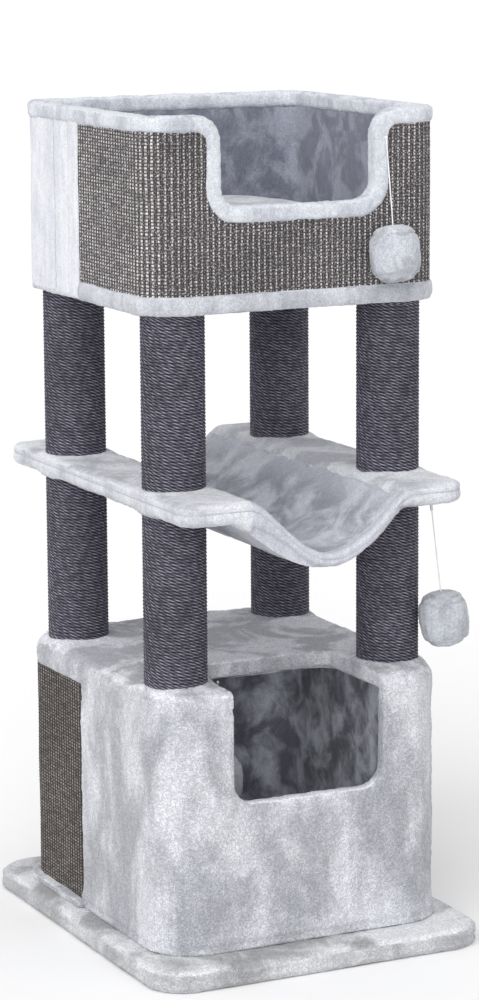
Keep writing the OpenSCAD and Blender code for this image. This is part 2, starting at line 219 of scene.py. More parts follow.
@dataclass(frozen=True)
class Pile:
    """Unevenness of a plush surface: swells, brushed dents and tufts, with their sizes."""

    swell: float
    swell_size: float
    dent: float
    dent_size: float
    tuft: float
    tuft_size: float
    seed: float

    def rise(self, p: Vector) -> float:
        """Height of the pile at a point, in metres.

        Args:
            p: The point.
        Returns:
            How far the surface stands out there.
        """
        q = p + Vector((self.seed, self.seed * 0.7, self.seed * 1.3))
        return (
            self.swell * MM * noise.noise(q / (self.swell_size * MM))
            + self.dent * MM * noise.noise(q / (self.dent_size * MM))
            + self.tuft * MM * noise.noise(q / (self.tuft_size * MM))
        )


def ridge(distance: float, width: float) -> float:
    """A smooth ridge: 1 on its line, falling to 0 about a width away."""
    return math.exp(-((distance / width) ** 2))


@dataclass(frozen=True)
class Line:
    """A raised or sunk line of a soft piece: its height, where it lies and its width."""

    height: float
    at: float
    width: float

    def rise(self, distance: float) -> float:
        """Height at a distance from where the line is measured, both in metres."""
        return self.height * MM * ridge(distance - self.at * MM, self.width * MM)


def step(value: float, edge: float, width: float) -> float:
    """A smooth step from 0 to 1 over a width round an edge."""
    t = min(max((value - edge) / width + 0.5, 0), 1)
    return t * t * (3 - 2 * t)


@dataclass(frozen=True)
class Fade:
    """A smooth step from 0 to 1: where its middle lies and how wide it is."""

    at: float
    width: float

    def share(self, distance: float) -> float:
        """Share reached at a distance, in metres, from where the fade is measured."""
        return step(distance, self.at * MM, self.width * MM)


@dataclass(frozen=True)
class Outline:
    """Rounded rectangle on the floor plan, centred at an X and at Y 0."""

    width: float
    depth: float
    radius: float
    x: float = 0.0

    def grown(self, by: float) -> "Outline":
        """The same outline, larger by the same amount all round."""
        return Outline(self.width + 2 * by, self.depth + 2 * by, max(self.radius + by, 1 * MM), self.x)

    def solid(self, name: str, foot: float, top: float) -> Piece:
        """Makes an upright solid on the outline.

        Args:
            name: Name of the object.
            foot: Height of its underside.
            top: Height of its top.
        Returns:
            The solid.
        """
        bm = bmesh.new()
        made = bmesh.ops.create_grid(bm, x_segments=1, y_segments=1, size=0.5)
        bmesh.ops.scale(bm, vec=(self.width, self.depth, 1), verts=made["verts"])
        bmesh.ops.translate(bm, vec=(self.x, 0, foot), verts=made["verts"])
        bmesh.ops.bevel(
            bm, geom=made["verts"], offset=self.radius, segments=14,
            profile=0.5, affect="VERTICES", material=-1,
        )
        raised = bmesh.ops.extrude_face_region(bm, geom=[max(bm.faces, key=lambda f: len(f.verts))])
        verts = [v for v in raised["geom"] if isinstance(v, bmesh.types.BMVert)]
        bmesh.ops.translate(bm, vec=(0, 0, top - foot), verts=verts)
        return to_object(bm, name)

    def lengths(self) -> Triple:
        """Half the front's straight part, a corner's length and a side's straight part."""
        return self.width / 2 - self.radius, self.radius * math.pi / 2, self.depth - 2 * self.radius

    def halfway(self) -> float:
        """Distance along the outline from the middle of the front to the middle of the back."""
        front, corner, side = self.lengths()
        return 2 * (front + corner) + side

    def reach(self, seam: float) -> float:
        """Distance along the outline from the middle of the front to a seam at a given Y on the side."""
        front, corner, _ = self.lengths()
        return front + corner + seam + self.depth / 2 - self.radius

    def spot(self, s: float) -> tuple[Vector, Vector]:
        """Place and outward direction at a distance along the outline.

        Args:
            s: Distance from the middle of the front; negative is towards -X.
        Returns:
            The place at height 0, and the outward direction.
        """
        front, corner, side = self.lengths()
        if s > self.halfway():
            s -= 2 * self.halfway()
        sign, s = math.copysign(1, s), abs(s)
        cx, cy = self.width / 2 - self.radius, self.depth / 2 - self.radius
        if s <= front:
            x, y, nx, ny = s, -self.depth / 2, 0.0, -1.0
        elif s <= front + corner:
            a = (s - front) / self.radius
            nx, ny = math.sin(a), -math.cos(a)
            x, y = cx + self.radius * nx, -cy + self.radius * ny
        elif s <= front + corner + side:
            x, y, nx, ny = self.width / 2, -cy + s - front - corner, 1.0, 0.0
        elif s <= front + 2 * corner + side:
            a = (s - front - corner - side) / self.radius
            nx, ny = math.cos(a), math.sin(a)
            x, y = cx + self.radius * nx, cy + self.radius * ny
        else:
            x, y, nx, ny = cx - (s - front - 2 * corner - side), self.depth / 2, 0.0, 1.0
        return Vector((sign * x + self.x, y, 0)), Vector((sign * nx, ny, 0))

    def inside(self, p: Vector) -> tuple[float, Vector]:
        """How far a point lies inside an upright wall on the outline, and which way is out.

        Args:
            p: The point.
        Returns:
            The distance from the outline, positive inside, and the outward direction.
        """
        x, y = p.x - self.x, p.y
        over_x = abs(x) - (self.width / 2 - self.radius)
        over_y = abs(y) - (self.depth / 2 - self.radius)
        if over_x > 0 and over_y > 0:
            away = math.hypot(over_x, over_y)
            return self.radius - away, Vector((math.copysign(over_x, x), math.copysign(over_y, y), 0)) / away
        if over_x > over_y:
            return self.radius - over_x, Vector((math.copysign(1, x), 0, 0))
        return self.radius - over_y, Vector((0, math.copysign(1, y), 0))


def block(name: str, lo: Sequence[float], hi: Sequence[float]) -> Piece:
    """Makes a plain box, used to cut other solids.

    Args:
        name: Name of the object.
        lo: Lowest corner.
        hi: Highest corner.
    Returns:
        The box.
    """
    bm = bmesh.new()
    bmesh.ops.create_cube(bm, size=1)
    size = Vector(hi) - Vector(lo)
    bmesh.ops.scale(bm, vec=size, verts=bm.verts[:])
    bmesh.ops.translate(bm, vec=Vector(lo) + size / 2, verts=bm.verts[:])
    return to_object(bm, name)


# ---- Finishes ----


class Graph:
    """A material's node graph, with short calls for the nodes used here."""

    def __init__(self, name: str) -> None:
        """Starts a material with a Principled shader.

        Args:
            name: Name of the material.
        """
        self.material = bpy.data.materials.new(name)
        self.material.use_nodes = True
        self.tree = self.material.node_tree
        self.shader = self.tree.nodes["Principled BSDF"]

    def add(self, kind: str, values: dict | None = None, **settings: object) -> bpy.types.Node:
        """Adds a node.

        Args:
            kind: Type of the node, without "ShaderNode".
            values: Values or sockets for its inputs, by name or place.
            **settings: The node's own settings.
        Returns:
            The node.
        """
        node = self.tree.nodes.new("ShaderNode" + kind)
        for key, value in settings.items():
            setattr(node, key, value)
        for key, value in (values or {}).items():
            self.put(node.inputs[key], value)
        return node

    def put(self, socket: Socket, value: object) -> None:
        """Links a socket, or sets its value."""
        if isinstance(value, Socket):
            self.tree.links.new(value, socket)
        else:
            socket.default_value = value

    def math(self, operation: str, *values: object) -> Socket:
        """One step of arithmetic.

        Args:
            operation: Name of the operation.
            *values: One to three numbers or sockets.
        Returns:
            The result.
        """
        return self.add("Math", dict(enumerate(values)), operation=operation).outputs[0]

    def place(self, source: str = "Object", scale: Sequence[float] = (1, 1, 1)) -> Socket:
        """Coordinates, stretched along the axes.

        Args:
            source: "Object" or "UV".
            scale: Scale along each axis.
        Returns:
            The coordinates.
        """
        coords = self.add("TexCoord").outputs[source]
        return self.add("Mapping", {"Vector": coords, "Scale": scale}).outputs[0]

    def part(self, vector: Socket, number: int) -> Socket:
        """One part of a vector: 0, 1 or 2."""
        return self.add("SeparateXYZ", {0: vector}).outputs[number]

    def noise(self, spot: Socket, size: float, detail: float = 2, rough: float = 0.5,
              warp: float = 0.0) -> Socket:
        """Noise of a given size.

        Args:
            spot: Coordinates.
            size: Size of the largest blots, in metres.
            detail: Number of finer layers.
            rough: Strength of the finer layers.
            warp: How far the noise is twisted.
        Returns:
            The noise, from 0 to 1.
        """
        values = {"Vector": spot, "Scale": 1 / size, "Detail": detail, "Roughness": rough, "Distortion": warp}
        return self.add("TexNoise", values).outputs[0]

    def span(self, value: object, low_end: float, high_end: float, to_low: float = 0.0,
             to_high: float = 1.0) -> Socket:
        """Maps one span of values to another, smoothly, and holds it there.

        Args:
            value: The value that is mapped.
            low_end: Start of its span.
            high_end: End of its span.
            to_low: What the start becomes.
            to_high: What the end becomes.
        Returns:
            The mapped value.
        """
        names = ("Value", "From Min", "From Max", "To Min", "To Max")
        values = dict(zip(names, (value, low_end, high_end, to_low, to_high)))
        return self.add("MapRange", values, interpolation_type="SMOOTHSTEP").outputs[0]

    def blend(self, share: object, first: object, second: object) -> Socket:
        """Mixes two colours."""
        colours = ((*given, 1) if isinstance(given, tuple) else given for given in (first, second))
        return self.add("Mix", dict(zip((0, 6, 7), (share, *colours))), data_type="RGBA").outputs[2]

    def shade(self, colour: Socket, by: object) -> Socket:
        """Lightens or darkens a colour by a factor."""
        return self.add("VectorMath", {0: colour, "Scale": by}, operation="SCALE").outputs[0]

    def relief(self, height: object, depth: float, strength: float = 1.0,
               under: Socket | None = None) -> Socket:
        """Turns a height into a surface normal.

        Args:
            height: Height, from 0 to 1.
            depth: Depth that 1 stands for, in metres.
            strength: Strength of the relief.
            under: Normal of a coarser relief below.
        Returns:
            The normal.
        """
        node = self.add("Bump", {"Height": height, "Distance": depth, "Strength": strength})
        if under is not None:
            self.put(node.inputs["Normal"], under)
        return node.outputs[0]

    def finish(self, colour: Socket, rough: object, normal: Socket | None = None,
               **fixed: object) -> bpy.types.Material:
        """Connects the shader.

        Args:
            colour: Base colour.
            rough: Roughness.
            normal: Surface normal.
            **fixed: Fixed values of other sockets, with _ for a space.
        Returns:
            The material.
        """
        self.put(self.shader.inputs["Base Color"], colour)
        self.put(self.shader.inputs["Roughness"], rough)
        if normal is not None:
            self.put(self.shader.inputs["Normal"], normal)
        for name, value in fixed.items():
            self.shader.inputs[name.replace("_", " ")].default_value = value
        return self.material


@dataclass(frozen=True)
class Plush:
    """Short curly pile, darker where it is stroked the other way."""

    name: str
    light: Triple
    dark: Triple
    patches: float = 0.5
    patch_size: float = 110 * MM
    flat_edge: float = 0.05
    upright_edge: float = 0.12
    curl: float = 0.2
    sheen: float = 0.2
    stretch: float = 0.4
    fibre: float = 0.17
    # Painted light: a factor on the colour of flat faces, to make the tops read as more brightly lit.
    painted_top_light: float = 1.0
    seed: float = 0.0
    hem: float = 0.0
    ends: float = 0.0
    hem_fade: float = 5 * MM
    ends_fade: float = 40 * MM
    comb_size: float = 12 * MM
    curl_size: float = 4.6 * MM
    curl_depth: float = 7.5 * MM
    fibre_size: float = 2.0 * MM
    nap_depth: float = 5 * MM

    def material(self) -> bpy.types.Material:
        """Builds the plush material."""
        g = Graph(self.name)
        spot = g.place()
        facing = g.part(g.add("NewGeometry").outputs["Normal"], 2)
        upright = g.span(g.math("ABSOLUTE", facing), 0.35, 0.8, 1.0, 0.0)
        shift = (self.seed, self.seed * 1.7, self.seed * 0.6)
        moved = g.add("VectorMath", {0: spot, 1: shift}).outputs[0]
        tall = g.add("VectorMath", {0: g.place("Object", (1, 1, self.stretch)), 1: shift}).outputs[0]
        blots = g.noise(moved, self.patch_size, 4, 0.6, 0.7)
        strokes = g.noise(tall, self.patch_size * 0.8, 4, 0.58, 0.4)
        nap = g.add("Mix", {0: upright, 2: blots, 3: strokes}, data_type="FLOAT").outputs[0]
        middle = 0.62 - 0.22 * self.patches
        edge = g.span(upright, 0.0, 1.0, self.flat_edge, self.upright_edge)
        dark = g.span(nap, g.math("SUBTRACT", middle, edge), g.math("ADD", middle, edge))
        if self.hem:
            across = g.math("ABSOLUTE", g.part(spot, 1))
            dark = g.math("MULTIPLY", dark, g.span(across, self.hem - self.hem_fade, self.hem, 1.0, 0.1))
        if self.ends:
            along = g.math("ABSOLUTE", g.part(spot, 0))
            dark = g.math("MULTIPLY", dark, g.span(along, self.ends - self.ends_fade, self.ends, 1.0, 0.35))
        colour = g.blend(dark, self.light, self.dark)
        combed = g.noise(g.place("Object", (1, 1, 0.2)), self.comb_size, 3, 0.6)
        comb = g.math("MULTIPLY", g.math("SUBTRACT", combed, 0.5), g.span(upright, 0.0, 1.0, 0.1, 0.34))
        colour = g.shade(colour, g.math("ADD", 1.0, comb))
        line = g.math("ABSOLUTE", g.math("SUBTRACT", g.noise(spot, self.curl_size, 1, 0.5, 1.0), 0.5))
        curls = g.span(line, 0.0, 0.17, 1.0, 0.0)
        fibres = g.noise(spot, self.fibre_size, 2, 0.65)
        # Painted shade and highlight: the colour is lighter on the raised curl lines and darker between them,
        # as light and shade fall on the pile.
        colour = g.shade(colour, g.span(curls, 0.0, 1.0, 1 - self.curl, 1 + 0.45 * self.curl))
        colour = g.shade(colour, g.span(fibres, 0.3, 0.7, 1 - self.fibre, 1 + 0.8 * self.fibre))
        # Painted light: flat faces, mostly the tops, are lightened by a factor, as if more light fell on
        # them.
        colour = g.shade(colour, g.span(upright, 0.0, 1.0, self.painted_top_light, 1.0))
        height = g.math("ADD", g.math("MULTIPLY", curls, 0.6), g.math("MULTIPLY", fibres, 0.4))
        normal = g.relief(nap, self.nap_depth, 0.35)
        normal = g.relief(height, self.curl_depth * self.curl, 0.8, normal)
        return g.finish(colour, 0.92, normal, Sheen_Weight=self.sheen, Sheen_Roughness=0.45,
                        Specular_IOR_Level=0.15)


@dataclass(frozen=True)
class Weave:
    """Coarse scratching mat: broad dark ribs with a row of pale stitches between them."""

    name: str = "mat_weave"
    rib: Triple = (0.080, 0.072, 0.074)
    groove: Triple = (0.016, 0.014, 0.015)
    stitch: Triple = (0.77, 0.74, 0.74)
    pitch: float = 9.58 * MM
    rise: float = 5.2 * MM
    wander: float = 2.6 * MM
    wander_size: float = 30 * MM
    fibre_size: float = 1.6 * MM
    fleck_size: float = 2.8 * MM
    blot_size: float = 160 * MM
    depth: float = 0.8 * MM

    def material(self) -> bpy.types.Material:
        """Builds the mat material, which follows the piece's own UV map in metres."""
        g = Graph(self.name)
        uv = g.place("UV")
        u, v = g.part(uv, 0), g.part(uv, 1)
        wander = g.math("MULTIPLY", g.math("SUBTRACT", g.noise(uv, self.wander_size, 2), 0.5), self.wander)
        u = g.math("ADD", u, wander)
        column = g.math("DIVIDE", u, self.pitch)
        row = g.math("DIVIDE", v, self.rise)
        across = g.math("ABSOLUTE", g.math("SUBTRACT", g.math("FRACT", column), 0.5))
        along = g.math("ABSOLUTE", g.math("SUBTRACT", g.math("FRACT", row), 0.5))
        cell = g.add("CombineXYZ", {0: g.math("FLOOR", column), 1: g.math("FLOOR", row)}).outputs[0]
        chance = g.add("TexWhiteNoise", {"Vector": cell}, noise_dimensions="2D").outputs[0]
        # Painted light: the pale stitches are broader on faces that turn sideways, which lightens these faces
        # like light falling on the side.
        facing = g.part(g.add("NewGeometry").outputs["Normal"], 0)
        side = g.span(g.math("ABSOLUTE", facing), 0.4, 0.9)
        near = g.span(across, g.span(side, 0.0, 1.0, 0.35, 0.24), g.span(side, 0.0, 1.0, 0.43, 0.34))
        bead = g.math("MULTIPLY", near, g.span(along, 0.18, 0.36, 1.0, 0.08))
        bead = g.math("MULTIPLY", bead, g.span(chance, 0.0, 1.0, 0.25, 1.0))
        lines = g.math("ABSOLUTE", g.math("SINE", g.math("MULTIPLY", column, 3 * math.pi)))
        picks = g.math("ABSOLUTE", g.math("SINE", g.math("MULTIPLY", row, 2 * math.pi)))
        fibres = g.noise(uv, self.fibre_size, 3, 0.7)
        dark = g.blend(g.math("MULTIPLY", lines, g.span(picks, 0.0, 0.7, 0.4, 1.0)), self.groove, self.rib)
        dark = g.shade(dark, g.span(fibres, 0.3, 0.7, 0.55, 1.8))
        flecks = g.math("MULTIPLY", g.span(g.noise(uv, self.fleck_size, 2, 0.7), 0.52, 0.68), 0.5)
        colour = g.blend(flecks, dark, self.stitch)
        colour = g.blend(bead, colour, self.stitch)
        broad = g.noise(g.place(), self.blot_size, 3)
        colour = g.shade(colour, g.span(broad, 0.3, 0.7, 0.88, 1.12))
        height = g.math("ADD", g.math("MULTIPLY", fibres, 0.5), g.math("MULTIPLY", lines, 0.5))
        return g.finish(colour, 0.85, g.relief(height, self.depth, 0.8), Specular_IOR_Level=0.2)


@dataclass(frozen=True)
class Rope:
    """Three-strand twisted rope, with painted highlights on the strands' crests and painted shade between the
    strands and between the wraps.
    """

    name: str = "rope_strands"
    # The light tone is a painted highlight for the strands' crests; the dark tone is painted shade for the
    # grooves between them.
    light: Triple = (0.30, 0.295, 0.36)
    middle: Triple = (0.098, 0.093, 0.123)
    dark: Triple = (0.022, 0.020, 0.030)
    lay: float = 11 * MM
    wander_size: float = 20 * MM
    fibre_size: float = 1.2 * MM
    # Size of the patches that break up the painted highlight.
    highlight_patch_size: float = 9 * MM
    blot_size: float = 120 * MM
    depth: float = 1.2 * MM

    def material(self) -> bpy.types.Material:
        """Builds the rope material: UV runs along the rope in metres and round it in turns."""
        g = Graph(self.name)
        uv = g.place("UV")
        along, turn = g.part(uv, 0), g.part(uv, 1)
        phase = g.math("SUBTRACT", g.math("DIVIDE", along, self.lay), g.math("MULTIPLY", turn, 4.0))
        wander = g.math("MULTIPLY", g.noise(g.place(), self.wander_size, 2), 0.6)
        wave = g.math("ABSOLUTE", g.math("SINE", g.math("MULTIPLY", g.math("ADD", phase, wander), math.pi)))
        fibres = g.noise(g.place(), self.fibre_size, 3, 0.7)
        # Painted shade: the colour darkens in the grooves between the strands.
        strand = g.span(wave, 0.05, 0.8)
        # Painted highlight: pale crests on the strands, broken into patches.
        highlight_patches = g.span(g.noise(g.place(), self.highlight_patch_size, 2, 0.6), 0.35, 0.65)
        crest_highlight = g.math("MULTIPLY", g.span(wave, 0.72, 1.0), highlight_patches)
        colour = g.blend(crest_highlight, g.blend(strand, self.dark, self.middle), self.light)
        # Painted shade: the colour darkens away from the rope's outer face, towards the wraps above and below
        # and the post behind.
        outward = g.math("ABSOLUTE", g.math("SUBTRACT", turn, 0.75))
        colour = g.shade(colour, g.span(outward, 0.09, 0.23, 1.0, 0.3))
        colour = g.shade(colour, g.span(fibres, 0.3, 0.72, 0.6, 1.45))
        colour = g.shade(colour, g.span(g.noise(g.place(), self.blot_size, 3), 0.3, 0.7, 0.88, 1.12))
        height = g.math("ADD", strand, g.math("MULTIPLY", fibres, 0.35))
        return g.finish(colour, 0.7, g.relief(height, self.depth, 0.9), Specular_IOR_Level=0.3)


@dataclass(frozen=True)
class Plain:
    """Hidden or small plain stock: boards, card, string and fasteners."""

    name: str
    base: Triple
    fleck: Triple
    grain: float
    stretch: Triple = (1, 1, 1)
    rough: float = 0.8
    metal: float = 0.0

    def material(self) -> bpy.types.Material:
        """Builds the material."""
        g = Graph(self.name)
        place = g.place("Object", self.stretch)
        flecks = g.noise(place, self.grain, 4, 0.65, 0.3)
        broad = g.noise(place, self.grain * 12, 2)
        colour = g.blend(g.span(flecks, 0.38, 0.66), self.base, self.fleck)
        colour = g.shade(colour, g.span(broad, 0.3, 0.7, 0.9, 1.1))
        rough = g.span(flecks, 0.2, 0.8, self.rough - 0.1, self.rough + 0.1)
        return g.finish(colour, rough, g.relief(flecks, self.grain * 0.2, 0.5), Metallic=self.metal)


class Finish(Enum):
    """Finishes of the tree, by the name of what wears them."""

    BASE = Plush("base_plush", (0.76, 0.77, 0.80), (0.36, 0.36, 0.375), 0.52, 160 * MM, 0.10, 0.25, 0.18,
                 seed=8.23)
    # The cave's flat faces are made 12 percent lighter: painted light on its tops.
    CAVE = Plush("cave_plush", (0.70, 0.71, 0.755), (0.41, 0.42, 0.455), 0.55, 110 * MM, 0.07, 0.14, 0.19,
                 stretch=0.55, painted_top_light=1.12, seed=6.92)
    WING = Plush("wing_plush", (0.75, 0.765, 0.81), (0.48, 0.49, 0.535), 0.45, 90 * MM, 0.12, 0.22, 0.12,
                 fibre=0.12, seed=14.78)
    SLING = Plush("sling_plush", (0.59, 0.60, 0.665), (0.30, 0.31, 0.36), 0.62, 80 * MM, 0.12, 0.14, 0.10,
                  fibre=0.12, seed=18.71, hem=325 * MM, ends=128 * MM)
    # Painted light: the bed's plush is a lighter copy of the same plush, for the bed's lit left side.
    BED = Plush("bed_plush", (0.79, 0.80, 0.84), (0.64, 0.66, 0.72), 0.4, 100 * MM, 0.1, 0.2, 0.09,
                stretch=0.6, fibre=0.08, seed=5.5)
    BORDER = Plush("border_plush", (0.62, 0.635, 0.68), (0.46, 0.475, 0.52), 0.4, 70 * MM,
                   curl=0.12, fibre=0.12, seed=12.16)
    TRIM = Plush("trim_plush", (0.69, 0.715, 0.765), (0.52, 0.54, 0.60), 0.35, 60 * MM,
                 curl=0.11, fibre=0.10, seed=6.4)
    LINING = Plush("bed_lining", (0.33, 0.34, 0.405), (0.19, 0.20, 0.25), 0.6, 60 * MM, 0.06, 0.10, 0.10,
                   fibre=0.10, stretch=0.9, seed=10.85)
    CUSHION = Plush("cushion_plush", (0.72, 0.735, 0.78), (0.52, 0.53, 0.58), 0.4, 80 * MM, 0.08, 0.12, 0.12,
                    seed=3.3)
    DARK = Plush("cave_lining", (0.84, 0.87, 0.94), (0.24, 0.25, 0.29), 0.62, 60 * MM, 0.16, 0.16, 0.08, 0.12,
                 stretch=0.85, fibre=0.08, seed=2.99)
    BALL = Plush("ball_plush", (0.56, 0.58, 0.63), (0.42, 0.43, 0.47), 0.4, 30 * MM,
                 curl=0.12, fibre=0.10, seed=9.1)
    # A grey line laid in the seams: painted shade of the seams' creases.
    SEAM = Plain("seam_shade_line", (0.44, 0.445, 0.49), (0.55, 0.56, 0.60), 1.2 * MM)
    MAT = Weave()
    CAVE_MAT = Weave("cave_mat_weave", (0.050, 0.043, 0.041), (0.008, 0.007, 0.007), (0.38, 0.345, 0.33))
    ROPE = Rope()
    BACKING = Plain("mat_backing", (0.05, 0.045, 0.043), (0.09, 0.08, 0.077), 2 * MM, (1, 1, 1), 0.9)
    BOARD = Plain("board_flakes", (0.50, 0.37, 0.23), (0.66, 0.53, 0.36), 4 * MM)
    PANEL = Plain("panel_grain", (0.55, 0.42, 0.27), (0.62, 0.50, 0.35), 3 * MM, (1, 1, 0.1))
    CARD = Plain("card_fibre", (0.36, 0.26, 0.17), (0.44, 0.33, 0.23), 2 * MM, (0.3, 0.3, 1), 0.9)
    STEEL = Plain("zinc_plating", (0.55, 0.56, 0.58), (0.68, 0.69, 0.71), 1.5 * MM, (1, 1, 1), 0.35, 1.0)
    SLEEVE = Plain("clear_sleeve", (0.70, 0.71, 0.72), (0.80, 0.81, 0.82), 1.5 * MM, (1, 1, 0.4), 0.35)
    STRING = Plain("string_twist", (0.78, 0.78, 0.77), (0.90, 0.90, 0.88), 0.8 * MM, (1, 1, 0.5), 0.75)

    def material(self) -> bpy.types.Material:
        """The finish's material, made once."""
        found = bpy.data.materials.get(self.value.name)
        return found or self.value.material()


def dress(finish: Finish, *objects: Piece) -> None:
    """Gives objects one finish."""
    for obj in objects:
        obj.data.materials.clear()
        obj.data.materials.append(finish.material())


def dress_nodes(finish: Finish, *nodes: str) -> None:
    """Gives frame nodes that show as they are one finish."""
    dress(finish, *(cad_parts[node] for node in nodes))


# ---- Shaping ----


def soft_copy(name: str, voxel: float, passes: int, *nodes: str) -> Piece:
    """Copies frame nodes as one closed mesh and softens it, to be worked into a soft piece.

    Args:
        name: Name of the copy.
        voxel: Size of its faces, or 0 to leave it hard.
        passes: Smoothing passes.
        *nodes: The nodes.
    Returns:
        The copy.
    """
    parts = []
    for node in nodes:
        bm = bmesh.new()
        bm.from_mesh(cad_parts[node].data)
        bmesh.ops.remove_doubles(bm, verts=bm.verts[:], dist=SAME)
        parts.append(to_object(bm, "copied"))
    obj = merge(name, parts)
    return soften(obj, voxel, passes) if voxel else obj


def round_over(obj: Piece, outline: Outline, top: float, radius: float) -> Piece:
    """Rounds a solid's upper outer edge.

    Args:
        obj: The solid.
        outline: Its outline.
        top: Height of its top.
        radius: Radius of the rounding.
    Returns:
        The same object.
    """

    def shift(p: Vector, _: Vector) -> Vector:
        """Move that rounds the edge at one point.

        Args:
            p: A point of the solid.
        Returns:
            Its move.
        """
        inside, out = outline.inside(p)
        across, down = radius - inside, radius - (top - p.z)
        reach = math.hypot(across, down)
        if across <= 0 or down <= 0 or reach <= radius:
            return Vector()
        share = 1 - radius / reach
        return Vector((0, 0, -down * share)) - out * (across * share)

    return move_points(obj, shift)


def sculpt(obj: Piece, pile: Pile, relief: Level | None = None,
           floor: float | None = None, share: Level | None = None) -> Piece:
    """Gives a soft piece its pile and its seams.

    Args:
        obj: The piece.
        pile: Its pile.
        relief: Height of its seams and rolls at a point with a normal, or None.
        floor: Height that no point goes below, or None.
        share: Share of the pile at a point with a normal, or None for all of it.
    Returns:
        The same object.
    """

    def shift(p: Vector, n: Vector) -> Vector:
        """Move of one point.

        Args:
            p: A point of the piece.
            n: Its normal.
        Returns:
            Its move.
        """
        pile_share = share(p, n) if share else 1.0
        move = n * (pile.rise(p) * pile_share + (relief(p, n) if relief else 0.0))
        if floor is not None and p.z + move.z < floor:
            move.z = floor - p.z
        return move

    return move_points(obj, shift)


def attach(obj: Piece, finish: Finish, slot: str, *nodes: str, body: str = TREE) -> Piece:
    """Dresses a finished piece and joins it to the frame.

    Args:
        obj: The piece.
        finish: Its finish.
        slot: Not used.
        *nodes: Frame nodes that it stands for.
        body: Frame body that it moves with.
    Returns:
        The same object.
    """
    dress(finish, obj)
    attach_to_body(obj, body)
    if nodes:
        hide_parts(*nodes)
    LOG.info("%s: %d faces", obj.name, len(obj.data.polygons) if obj.type == "MESH" else 0)
    return obj


def wire(name: str, points: Sequence[Vector], thick: float, closed: bool, fineness: int) -> Piece:
    """Makes a round thread along points.

    Args:
        name: Name of the thread.
        points: The points.
        thick: Thickness of the thread.
        closed: Whether it is a ring.
        fineness: Steps in a quarter of its section.
    Returns:
        The thread, as a curve.
    """
    curve = bpy.data.curves.new(name, "CURVE")
    curve.dimensions = "3D"
    curve.bevel_depth = thick / 2
    curve.bevel_resolution = fineness
    curve.use_fill_caps = not closed
    line = curve.splines.new("POLY")
    line.points.add(len(points) - 1)
    line.use_cyclic_u = closed
    for point, spot in zip(line.points, points):
        point.co = (*spot, 1)
    return new_object(name, curve)


@dataclass(frozen=True)
class Seam:
    """A grey line sunk into a seam of a soft piece: painted shade of the seam's crease."""

    name: str
    points: tuple[Vector, ...]
    closed: bool = False
    thick: float = 1.6 * MM
    proud: float = 0.1 * MM

    def sew(self, piece: Piece, body: str = TREE) -> Piece:
        """Lays the line of painted seam shade on a piece's surface.

        Args:
            piece: The soft piece.
            body: Frame body that it moves with.
        Returns:
            The line of painted shade.
        """
        mesh = piece.data
        surface = BVHTree.FromPolygons([v.co for v in mesh.vertices], [f.vertices[:] for f in mesh.polygons])
        found = (surface.find_nearest(point) for point in self.points)
        points = [spot + normal * self.proud for spot, normal, _, _ in found]
        obj = wire(self.name, points, self.thick, self.closed, 1)
        return attach(obj, Finish.SEAM, "plush", body=body)


# ---- Woven mats ----


@dataclass(frozen=True)
class WovenMat:
    """A sheet of coarse weave that follows a box's outline."""

    outline: Outline
    foot: float
    top: float
    columns: int = 6
    rows: int = 3
    rib: float = 0.9 * MM
    bead: float = 1.6 * MM
    bead_half: float = 0.2
    lift: float = 1.3 * MM
    turned_in: float = 2.5 * MM

    def build(self, name: str, start: float, end: float,
              hidden: Callable[[Vector], bool] | None = None) -> Piece:
        """Weaves the mat.

        Args:
            name: Name of the piece.
            start: Distance along the outline where it starts.
            end: Distance where it ends.
            hidden: Says which points lie in an opening, or None.
        Returns:
            The mat, with its UV map in metres.
        """
        weave = Finish.MAT.value
        across = round((end - start) / weave.pitch * self.columns)
        up = round((self.top - self.foot) / weave.rise * self.rows)
        bm = bmesh.new()
        bmesh.ops.create_grid(bm, x_segments=across, y_segments=up, size=0.5)
        uv = bm.loops.layers.uv.new("UVMap")
        flat = {}
        for vert in bm.verts:
            s = start + (vert.co.x + 0.5) * (end - start)
            z = self.foot + (vert.co.y + 0.5) * (self.top - self.foot)
            flat[vert] = (s, z)
            u, v = s / weave.pitch, z / weave.rise
            near = abs(u - round(u))
            height = self.lift + self.rib * abs(math.sin(2 * math.pi * u))
            if near < self.bead_half:
                height += self.bead * (1 - near / self.bead_half) * math.sin(math.pi * (v % 1)) ** 2
            coarse = 0.35 * MM * noise.noise(Vector((s, z, 0)) / (4 * MM))
            height += coarse + 0.8 * MM * noise.noise(Vector((s, z, 7)) / (90 * MM))
            spot, out = self.outline.spot(s)
            vert.co = spot + out * height + Vector((0, 0, z))
        for face in bm.faces:
            for loop in face.loops:
                loop[uv].uv = flat[loop.vert]
        if hidden:
            gone = [f for f in bm.faces if hidden(f.calc_center_median())]
            bmesh.ops.delete(bm, geom=gone, context="FACES")
        rim = [e for e in bm.edges if e.is_boundary]
        turned = bmesh.ops.extrude_edge_only(bm, edges=rim)
        for vert in (v for v in turned["geom"] if isinstance(v, bmesh.types.BMVert)):
            _, out = self.outline.inside(vert.co)
            vert.co -= out * self.turned_in
        obj = smooth(to_object(bm, name))
        self.face_out(obj)
        return obj

    def face_out(self, obj: Piece) -> None:
        """Turns the mat's faces outwards if they point in.

        Args:
            obj: The mat.
        """
        score, every = 0.0, 97
        for polygon in list(obj.data.polygons)[::every]:
            _, out = self.outline.inside(polygon.center)
            score += polygon.normal.dot(out)
        if score < 0:
            obj.data.flip_normals()


# ---- Studio ----


